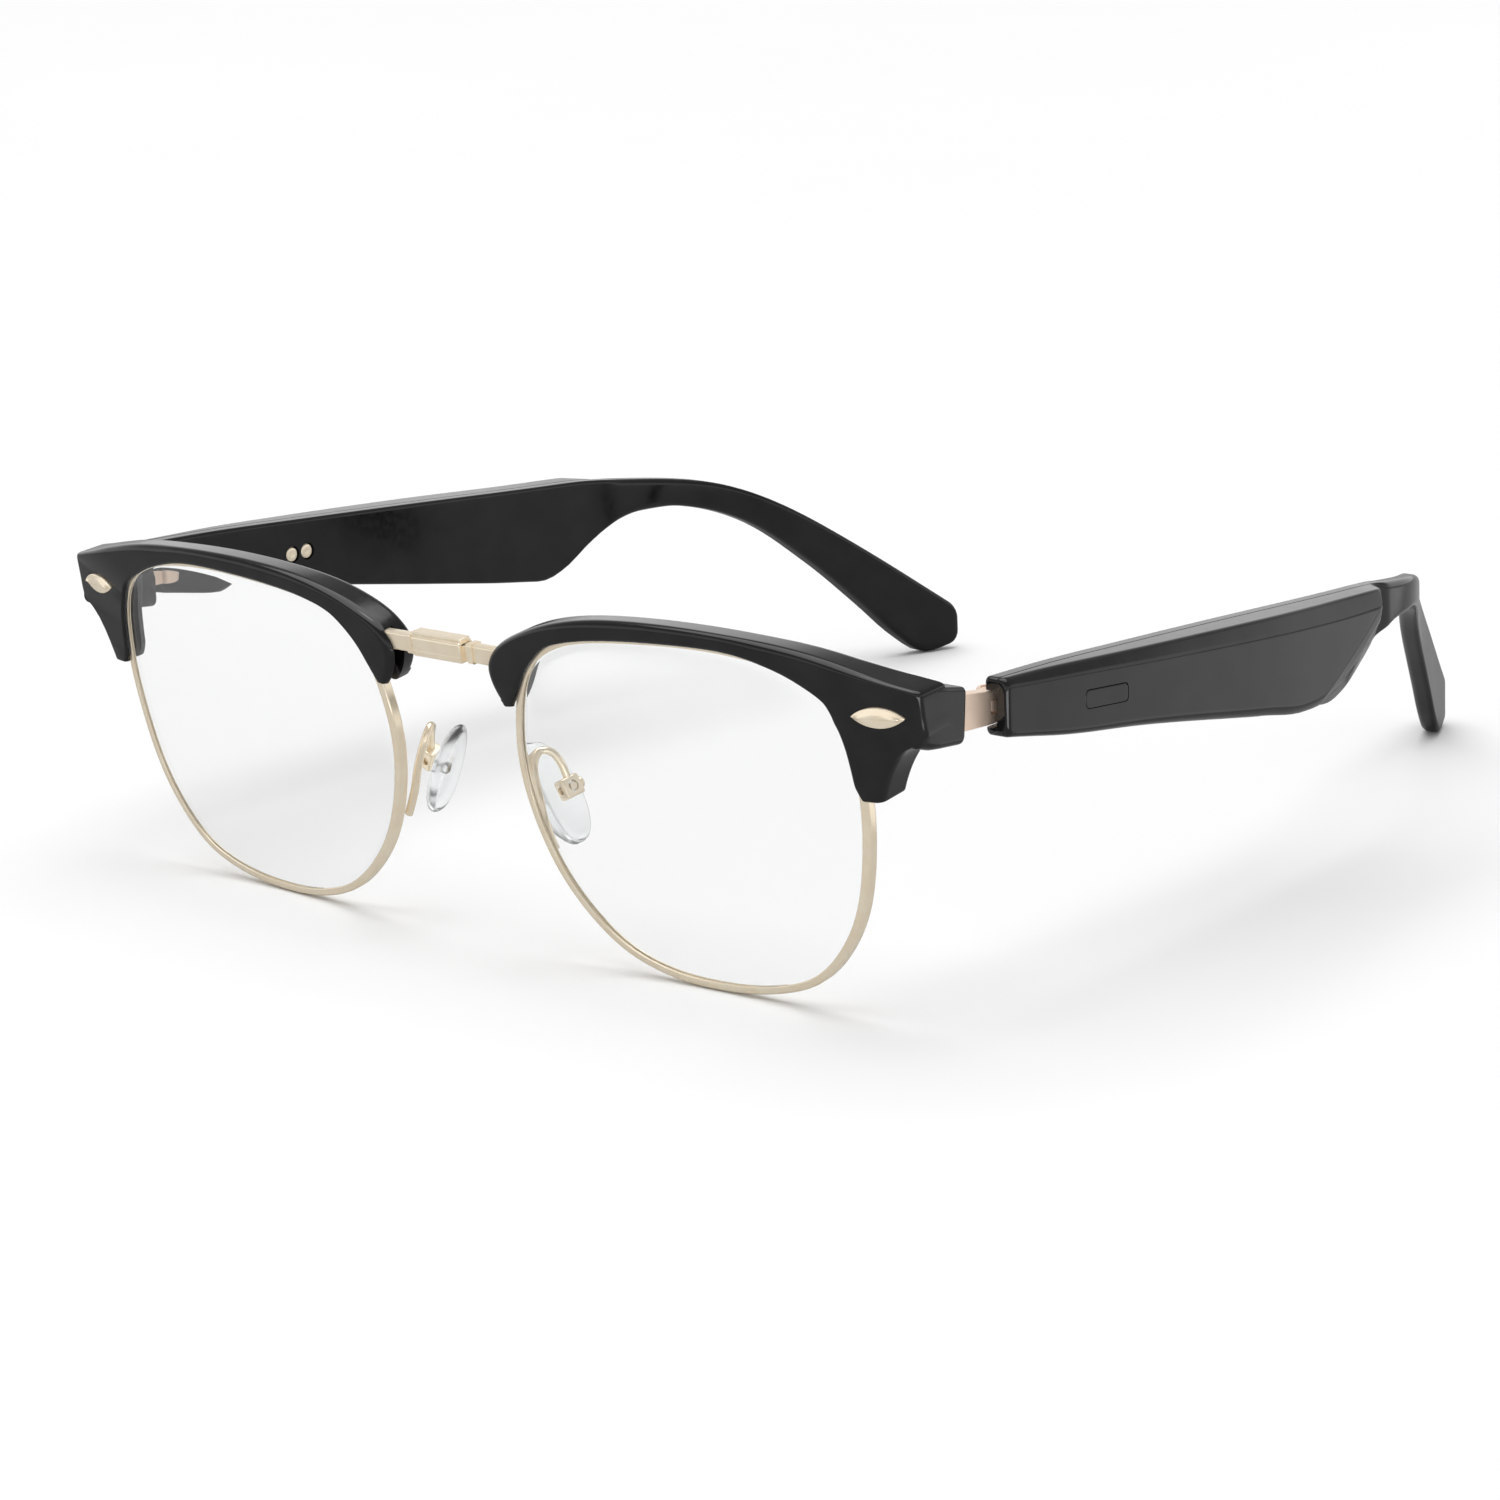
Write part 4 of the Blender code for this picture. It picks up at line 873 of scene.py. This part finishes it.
def pad_mesh():
    """A soft drop-shaped pad, flatter on the side that rests on the nose."""
    rings = []
    count = 22
    for k in range(1, count):
        angle = math.pi * k / count
        z = -6.8 * math.cos(angle)
        size = math.sin(angle) ** 0.85
        half_width = 3.25 * size * (1.0 - 0.10 * z / 6.8)
        ring = []
        for i in range(36):
            turn = 2 * math.pi * i / 36
            x = math.cos(turn) * (0.98 if math.cos(turn) > 0 else 0.86) * size ** 0.7
            ring.append((x - 0.006 * z * z, half_width * math.sin(turn), z))
        rings.append(ring)
    return loft(rings)


def build_nose_pad(word, side):
    place = pad_place()
    pad = pad_mesh()
    stem = bevel(box((0.3, PAD_PIVOT + 0.55), (-0.4, 0.4), (-0.75, 0.75)), 0.18)
    both = merged(pad, stem)
    bmesh.ops.transform(both, matrix=place, verts=both.verts)
    pad = new_object(f"pad_soft_{word}", placed(both, side))
    dress(pad, f"nose_pad_{word}", [f"nose_pad_{word}"], "silicone", sharp=60)


def build_pad_mount(word, side):
    place = pad_place()
    across = place.to_3x3().col[1]
    pivot = place @ Vector((PAD_PIVOT, 0, 0))
    holder = bevel(box((PAD_PIVOT - 0.95, PAD_PIVOT + 0.95), (-1.4, 1.4), (-1.3, 1.3)), 0.32, 4)
    slot = box((PAD_PIVOT - 2.0, PAD_PIVOT + 0.75), (-0.65, 0.65), (-2.5, 1.0))
    for bm in (holder, slot):
        bmesh.ops.transform(bm, matrix=place, verts=bm.verts)
    holder = new_object(f"pad_clip_{word}", placed(holder, side))
    bore = turned([(0.52, -2.0), (0.52, 2.0)], pivot, across, 28)
    mark = ring_groove(pivot, PAD_NORMAL, (0.48, 0.72), (0.72, 1.3))
    cut(holder, (slot, bore, mark), side)
    dress(holder, "front", [f"pad_box_{word}"], "gold")

    screw = merged(
        turned(button(0.4, -1.0, 1.5, 0.08), pivot, across, 24),
        turned(button(0.8, 1.42, 1.9, 0.14), pivot, across, 32),
    )
    screw = new_object(f"pad_pin_{word}", placed(screw, side))
    dress(screw, "front", [f"pad_screw_{word}"], "gold")


def build_pad_arm(word, side):
    """A bent wire, a little flattened where it is soldered to the rim."""
    line = relaxed(spline(PAD_ARM, 8, closed=False), 6, closed=False)
    rings = []
    up = Vector((0.3, 1.0, 0.1)).normalized()
    for i, point in enumerate(line):
        before, after = line[max(0, i - 1)], line[min(len(line) - 1, i + 1)]
        along = (Vector(after) - Vector(before)).normalized()
        first = along.cross(up).normalized()
        second = along.cross(first)
        share = i / (len(line) - 1)
        radius = 0.55 - 0.06 * share
        flat = 0.85 if share < 0.1 else 1.0
        rings.append(
            [
                tuple(Vector(point) + (first * math.cos(a) + second * math.sin(a) * flat) * radius)
                for a in (2 * math.pi * k / 18 for k in range(18))
            ]
        )
    start = round_end(rings[0], Vector(line[0]) - Vector(line[1]), 0.25, 4)[::-1]
    end = round_end(rings[-1], Vector(line[-1]) - Vector(line[-2]), 0.25, 4)
    arm = new_object(f"pad_wire_{word}", placed(loft(start + rings + end), side))
    dress(arm, "front", [f"pad_arm_{word}"], "gold", sharp=60)


# ---------------------------------------------------------------- hinges


def build_hinge(word, side):
    up = (0, 0, 1)
    body = f"temple_{word}"
    block = new_object(f"hinge_bar_{word}", placed(bevel(hinge_stem(0.0, HINGE.y), 0.16, 3), side))
    barrel = turned(button(1.4, -2.0, 2.0, 0.14), HINGE, up, 48)
    slot = box((HINGE.x - 4, HINGE.x + 4), (HINGE.y - 1.45, HINGE.y + 4), (HINGE.z - 0.85, HINGE.z + 0.85))
    bore = turned([(0.56, -4.0), (0.56, 4.0)], HINGE, up, 32)
    head_bore = turned([(0.92, 1.45), (0.92, 4.0)], HINGE, up, 32)
    cut(block, (slot, bore, head_bore), side, joined=[new_object("barrel", placed(barrel, side))])
    dress(block, "front", [f"hinge_block_{word}"], "satin")

    shank = turned(button(0.5, -1.85, 1.8, 0.08), HINGE, up, 28)
    head = turned(button(0.85, 1.5, 1.95, 0.12), HINGE, up, 36)
    screw = new_object(f"hinge_pin_{word}", placed(merged(shank, head), side))
    groove = box((HINGE.x - 1, HINGE.x + 1), (HINGE.y - 0.12, HINGE.y + 0.12), (HINGE.z + 1.75, HINGE.z + 3))
    cut(screw, (groove,), side)
    dress(screw, "front", [f"hinge_screw_{word}"], "satin")

    eye = turned(button(1.25, -0.7, 0.7, 0.1), HINGE, up, 48)
    knuckle = new_object(f"hinge_knuckle_{word}", placed(eye, side))
    rings = []
    for y, low, high in ((16.0, 70.6, 71.2), (17.3, 70.9, 71.6), (18.9, 72.65, 73.25), (24.6, 72.4, 73.0)):
        rings.append([(x, y, HINGE.z + z) for x, z in rectangle(low, high, -0.69, 0.69)])
    tang = new_object("tang", placed(loft(rings), side))
    bore = turned([(0.56, -4.0), (0.56, 4.0)], HINGE, up, 32)
    cut(knuckle, (bore,), side, joined=[tang])
    dress(knuckle, body, [f"hinge_leaf_{word}"], "satin")


# ---------------------------------------------------------------- temples

START_Y = 14.0
BOX_END = 98.3
BOX_END_OUTSIDE = 93.9  # where the box's outer face ends
TIP_END = 152.3
FACE_BEND = ((90, 0), (95, 0.1), (100, 0.8), (108, 1.9), (116, 5.1), (125, 10.6), (140, 17.1), (152.3, 22.0))
TOP_LINE = (
    (14, 40.9), (24, 40.4), (40, 39.2), (60, 37.6), (80, 35.9), (88, 35.25), (95, 34.7), (100, 34.05),
    (104, 33.45), (108, 32.85), (112, 32.2), (116, 31.35), (120, 29.9), (126, 26.5), (135, 20.1),
    (152.3, 6.5),
)  # fmt: skip
BOTTOM_LINE = (
    (14, 34.0), (18, 33.2), (24, 32.0), (40, 29.6), (65, 24.9), (78, 22.45), (82, 21.8), (86, 21.2),
    (90, 22.2), (95, 25.0), (100, 27.4), (105, 28.35), (110, 28.3), (115, 27.25), (120, 25.1),
    (130, 16.65), (138, 8.4), (143, 3.0), (147.3, 0.0), (152.3, 1.1),
)  # fmt: skip
OUTER_BOTTOM_LINE = (
    (14, 34.0), (18, 33.2), (24, 32.0), (40, 29.6), (65, 24.9), (74, 23.25), (77.5, 23.2), (80.5, 24.4),
    (84.5, 26.6), (88.5, 28.9), (92, 31.0), (93.9, 32.2),
)  # fmt: skip
BOX_THICKNESS = ((14, 3.4), (30, 5.2), (50, 6.35), (68, 6.75), (80, 6.5), (93, 6.0))
BOX_SLANT = ((80, 0.0), (BOX_END, BOX_END - BOX_END_OUTSIDE))  # how far the outer face lags a section
STEP_Y = 98.6  # behind the box, where the cover thickens to the hook
STEP_RUN = 3.0
HOOK_THICKNESS = 3.1
COVER_THICKNESS = 1.87
SHELL_OFFSET = 1.9
SHOULDER_DROP = ((14, 0.8), (23, 1.1), (83, 2.1), (98.3, 2.0))
SHOULDER_WIDTH = ((14, 0.7), (23, 1.1), (83, 1.25), (98.3, 0.9))
SHELL_WALL = 1.3
CAVITY_Y = (18.0, 88.0)
CAVITY_FLOOR = ((70, SHELL_WALL), (80, 2.3))
GRILLE_SLOT_Y = (64.2, 67.2, 70.2, 73.3)
GRILLE_MIDDLE_Y = 68.75
MICROPHONE_Y = 23.1
EVEN_Y = 15.5  # where the rounded front end is over
TAPER_Y = 78.0  # where the box's outer lower edge begins to climb


def top_line(y):
    return softened(TOP_LINE, y, 3.0)


def bottom_line(y):
    return max(0.0, softened(BOTTOM_LINE, y, 1.2))


def inner_face(y):
    return 70.9 - 0.0455 * (y - START_Y) - softened(FACE_BEND, y, 3.0)


def box_thickness(y):
    return smooth(BOX_THICKNESS, y)


def end_marks(start, radius, into, steps=6):
    """Places and shrinkage that round an end off, from the end inwards."""
    marks = []
    for k in range(steps + 1):
        angle = math.pi / 2 * k / steps
        marks.append((start + into * radius * (1 - math.cos(angle)), radius * (1 - math.sin(angle))))
    return marks


def shell_ring(y, shrink):
    """A section of the box; its outer side lies further forward towards the box's slanted end."""
    outer_y = y - smooth(BOX_SLANT, y)
    thick = box_thickness(outer_y) - 0.8 * shrink
    room = 0.62 * (thick - SHELL_OFFSET)
    across = min(smooth(SHOULDER_WIDTH, y), room)
    drop = smooth(SHOULDER_DROP, y)
    low, high = bottom_line(y) + shrink, top_line(y) - shrink
    outer_low, outer_high = softened(OUTER_BOTTOM_LINE, outer_y, 0.8) + shrink, top_line(outer_y) - shrink
    fall = (outer_low - low) / (thick - SHELL_OFFSET)
    corners = [
        (SHELL_OFFSET, low), (thick - 0.8 * across, outer_low - 0.8 * across * fall),
        (thick, outer_low + 0.6 * drop), (thick, outer_high - drop), (thick - across, outer_high),
        (SHELL_OFFSET, high),
    ]  # fmt: skip
    ring = []
    for x, z in rounded(corners, (0.12, 0.7, 0.5, 0.35, 0.45, 0.12), 4):
        at = y + (outer_y - y) * (x - SHELL_OFFSET) / (thick - SHELL_OFFSET)
        ring.append((inner_face(at) + x, at, z))
    return ring


def build_shell(word, side):
    marks = end_marks(START_Y, 0.7, 1)
    marks += [(y, 0.0) for y in evenly(EVEN_Y, TAPER_Y, 40)[:-1]]
    marks += [(y, 0.0) for y in evenly(TAPER_Y, BOX_END - 0.9, 24)[:-1]]
    marks += end_marks(BOX_END - 0.2, 0.7, -1)[::-1]
    shell = new_object(f"temple_housing_{word}", placed(loft([shell_ring(*mark) for mark in marks]), side))

    cavity = []
    for y in evenly(*CAVITY_Y, 12):
        floor = smooth(CAVITY_FLOOR, y)
        inside, outside = SHELL_OFFSET - 1.0, box_thickness(y) - SHELL_WALL
        lows = []
        for x in (SHELL_OFFSET, outside):
            share = (x - SHELL_OFFSET) / (box_thickness(y) - SHELL_OFFSET)
            lows.append((1 - share) * bottom_line(y) + share * softened(OUTER_BOTTOM_LINE, y, 0.8) + floor)
        top = top_line(y) - SHELL_WALL
        corners = ((inside, lows[0]), (outside, lows[1]), (outside, top), (inside, top))
        cavity.append([(inner_face(y) + x, y, z) for x, z in corners])
    slot = []
    for y in GRILLE_SLOT_Y:
        low = bottom_line(y)
        slot.append([(inner_face(y) + x, y, z) for x, z in rectangle(2.6, 5.6, low - 1.5, low + 2.5)])
    hole_place = (inner_face(MICROPHONE_Y) + 2.43, MICROPHONE_Y, bottom_line(MICROPHONE_Y))
    hole = turned([(0.35, -2.0), (0.35, 2.0)], hole_place, (0, 0, 1), 24)
    cutters = [loft(cavity), loft(slot), hole]
    if side > 0:
        cutters.append(loft(key_rings(KEY_GAP, -2.6, 1.0, 0)))
    cut(shell, cutters, side)
    dress(shell, f"temple_{word}", [f"temple_shell_{word}"], "black")


def build_cover(word, side):
    """The inner half of the temple, which runs on behind the box as the ear hook."""
    marks = end_marks(START_Y, 0.7, 1)
    stretches = ((EVEN_Y, 97.5, 50), (STEP_Y, STEP_Y + STEP_RUN, 6), (102.5, TIP_END - 1.7, 40))
    marks += [(y, 0.0) for stretch in stretches for y in evenly(*stretch)]
    marks += end_marks(TIP_END, 1.5, -1, 7)[::-1]
    rings = []
    for y, shrink in marks:
        share = min(1.0, max(0.0, (y - STEP_Y) / STEP_RUN))
        share = share * share * (3 - 2 * share)
        thick = COVER_THICKNESS + share * (HOOK_THICKNESS - COVER_THICKNESS)
        bottom, top = bottom_line(y) + shrink, top_line(y) - shrink
        if top - bottom < 0.3:
            middle = (top + bottom) / 2
            bottom, top = middle - 0.15, middle + 0.15
        squeeze = 0.6 * shrink
        low, high = squeeze, thick - share * squeeze
        inner = 0.55 + 0.45 * share
        outer = 0.12 + 0.85 * share
        limit = 0.45 * (high - low)
        reaches = [min(limit, inner), min(limit, outer), min(limit, outer), min(limit, inner)]
        face = inner_face(y)
        rings.append([(face + x, y, z) for x, z in rounded(rectangle(low, high, bottom, top), reaches, 6)])
    cover = new_object(f"temple_inner_{word}", placed(loft(rings), side))
    cutters = [box((66.0, 72.65), (12.0, 19.4), (HINGE.z - 2.25, HINGE.z + 2.25))]
    if side < 0:
        for y in PIN_Y:
            cutters.append(turned([(1.2, -3.0), (1.2, 3.0)], pin_face(y), PIN_INWARDS, 40))
    cut(cover, cutters, side)
    dress(cover, f"temple_{word}", [f"temple_cover_{word}"], "black")


def build_grille(word, side):
    """A thin metal strip with rows of small holes, sunk into the box's underside."""
    rows, columns, pitch = 4, 15, 0.56
    bm = bmesh.new()
    for row in range(rows):
        for column in range(columns):
            grille_cell(bm, (row - rows / 2 + 0.5) * pitch, (column - columns / 2 + 0.5) * pitch, pitch)
    bmesh.ops.remove_doubles(bm, verts=bm.verts, dist=0.001)
    bmesh.ops.solidify(bm, geom=list(bm.faces), thickness=0.3)
    bmesh.ops.recalc_face_normals(bm, faces=bm.faces)
    for vert in bm.verts:
        y = GRILLE_MIDDLE_Y + vert.co.y
        vert.co = (inner_face(y) + 4.1 + vert.co.x, y, bottom_line(y) + 0.55 + vert.co.z)
    grille = new_object(f"grille_mesh_{word}", placed(bm, side))
    dress(grille, f"temple_{word}", [f"speaker_grille_{word}"], "grille")


def grille_cell(bm, x, y, pitch):
    """A square of sheet with a round hole."""
    count = 8
    half, radius = pitch / 2, 0.18
    inner, outer = [], []
    for i in range(count):
        angle = 2 * math.pi * i / count
        cos, sin = math.cos(angle), math.sin(angle)
        reach = half / max(abs(cos), abs(sin))
        inner.append(bm.verts.new((x + radius * cos, y + radius * sin, 0.0)))
        outer.append(bm.verts.new((x + reach * cos, y + reach * sin, 0.0)))
    for i in range(count):
        j = (i + 1) % count
        bm.faces.new((inner[i], outer[i], outer[j], inner[j]))


# ---------------------------------------------------------------- key and charging contacts


KEY_Y, KEY_Z = 31.4, 35.3
KEY_HALF_LENGTH = 4.0
KEY_HALF_HEIGHT = 1.15
KEY_CORNER = 0.65
KEY_SLOPE = 0.09  # the key leans with the temple's axis
KEY_GAP = 0.03
KEY_TOP_GAP = 0.06


def key_rings(grow, low, high, dome):
    """A pill-shaped block in the left temple's outer wall, with an eased rim on its outer face."""
    layers = [(low, 0.0), (high, 0.0)]
    if dome:
        layers = [(low, 0.0), (high - 0.14, 0.0), (high - 0.06, 0.03), (high - 0.015, 0.09), (high, 0.18)]
    rings = []
    for offset, shrink in layers:
        half_length, half_height = KEY_HALF_LENGTH + grow - shrink, KEY_HALF_HEIGHT + grow - shrink
        top = half_height - (KEY_TOP_GAP if dome else 0.0)
        corners = rectangle(-half_length, half_length, -half_height, top)
        ring = []
        for along, up in rounded(corners, (KEY_CORNER + grow,) * 4, 5):
            y = KEY_Y + along
            ring.append((inner_face(y) + box_thickness(y) + offset, y, KEY_Z + up - KEY_SLOPE * along))
        rings.append(ring)
    return rings


def build_key():
    key = new_object("key_pill", placed(loft(key_rings(0.0, -1.6, 0.0, 1)), 1))
    dress(key, "function_key", ["function_key"], "black")


PIN_Y = (38.0, 40.7)
PIN_INWARDS = Vector((1.0, 0.0455, 0.0)).normalized()


def pin_face(y):
    return Vector((inner_face(y), y, 34.5))


def build_pins():
    for word, y in zip(("front", "rear"), PIN_Y):
        centre = pin_face(y) + PIN_INWARDS * 0.1
        profile = [
            (0.03, 0.16), (0.12, 0.12), (0.2, 0.04), (0.3, 0.0), (0.6, 0.0), (0.85, 0.03), (0.98, 0.1),
            (1.05, 0.22), (1.05, 1.6), (0.03, 1.6),
        ]  # fmt: skip
        pin = new_object(f"contact_{word}", placed(turned(profile, centre, PIN_INWARDS, 48), -1))
        dress(pin, "temple_right", [f"charge_pin_{word}"], "gold", sharp=50)


# ---------------------------------------------------------------- the whole

INSIDE = {
    "circuit_board": "board",
    "sound_chip": "chip",
    "battery": "foil",
    "speaker": "speaker",
    "microphone": "steel",
    "key_switch": "steel",
    "charge_magnet": "magnet",
}


def paint_inside():
    """The CAD solids that stay as they are, inside the temples."""
    for name, node in frame["nodes"].items():
        for start, material in INSIDE.items():
            if name in (start, f"{start}_left", f"{start}_right"):
                node.data.materials.clear()
                node.data.materials.append(MATERIALS[material])


def make_floor():
    bm = bmesh.new()
    bmesh.ops.create_grid(bm, x_segments=4, y_segments=4, size=15.0)
    floor = new_object("studio_floor", bm)
    floor.location.z = -0.00003
    floor.data.materials.append(floor_paper())


MATERIALS = {
    "black": black_plastic(),
    "gold": gold("champagne_gold", (0.97, 0.83, 0.63), (1.0, 0.89, 0.70), 0.13, 0.22),
    "satin": gold("satin_gold", (0.88, 0.69, 0.55), (0.93, 0.74, 0.60), 0.38, 0.50),
    "lens": clear_lens(),
    "silicone": clear_silicone(),
    "steel": grained_metal(
        "fine_steel", 300.0, 4.0, (0.42, 0.42, 0.43), (0.62, 0.62, 0.63), (0.2, 0.36), 0.1,
        stretch=(1.0, 12.0, 1.0),
    ),
    "board": board_green(),
    "chip": moulded_black("chip_package", 0.015, 0.03),
    "speaker": moulded_black("speaker_housing", 0.02, 0.04),
    "foil": grained_metal(
        "battery_foil", 700.0, 5.0, (0.45, 0.46, 0.48), (0.66, 0.67, 0.69), (0.28, 0.45), 0.3, 0.00006,
        stretch=(1.0, 0.35, 1.0),
    ),
    "grille": grained_metal(
        "black_mesh_metal", 2400.0, 3.0, (0.02, 0.02, 0.021), (0.05, 0.05, 0.052), (0.3, 0.45), 0.1
    ),
    "magnet": grained_metal(
        "nickel_plate", 1300.0, 3.0, (0.46, 0.45, 0.43), (0.60, 0.59, 0.57), (0.14, 0.26), 0.08
    ),
}

make_camera()
make_studio()
make_floor()
build_bridge()
for side_word, sign in SIDES.items():
    build_rim(side_word, sign)
    build_lens(side_word, sign)
    build_brow(side_word, sign)
    build_rivet(side_word, sign)
    build_rim_lock(side_word, sign)
    build_nose_pad(side_word, sign)
    build_pad_mount(side_word, sign)
    build_pad_arm(side_word, sign)
    build_hinge(side_word, sign)
    build_shell(side_word, sign)
    build_cover(side_word, sign)
    build_grille(side_word, sign)
build_key()
build_pins()
paint_inside()
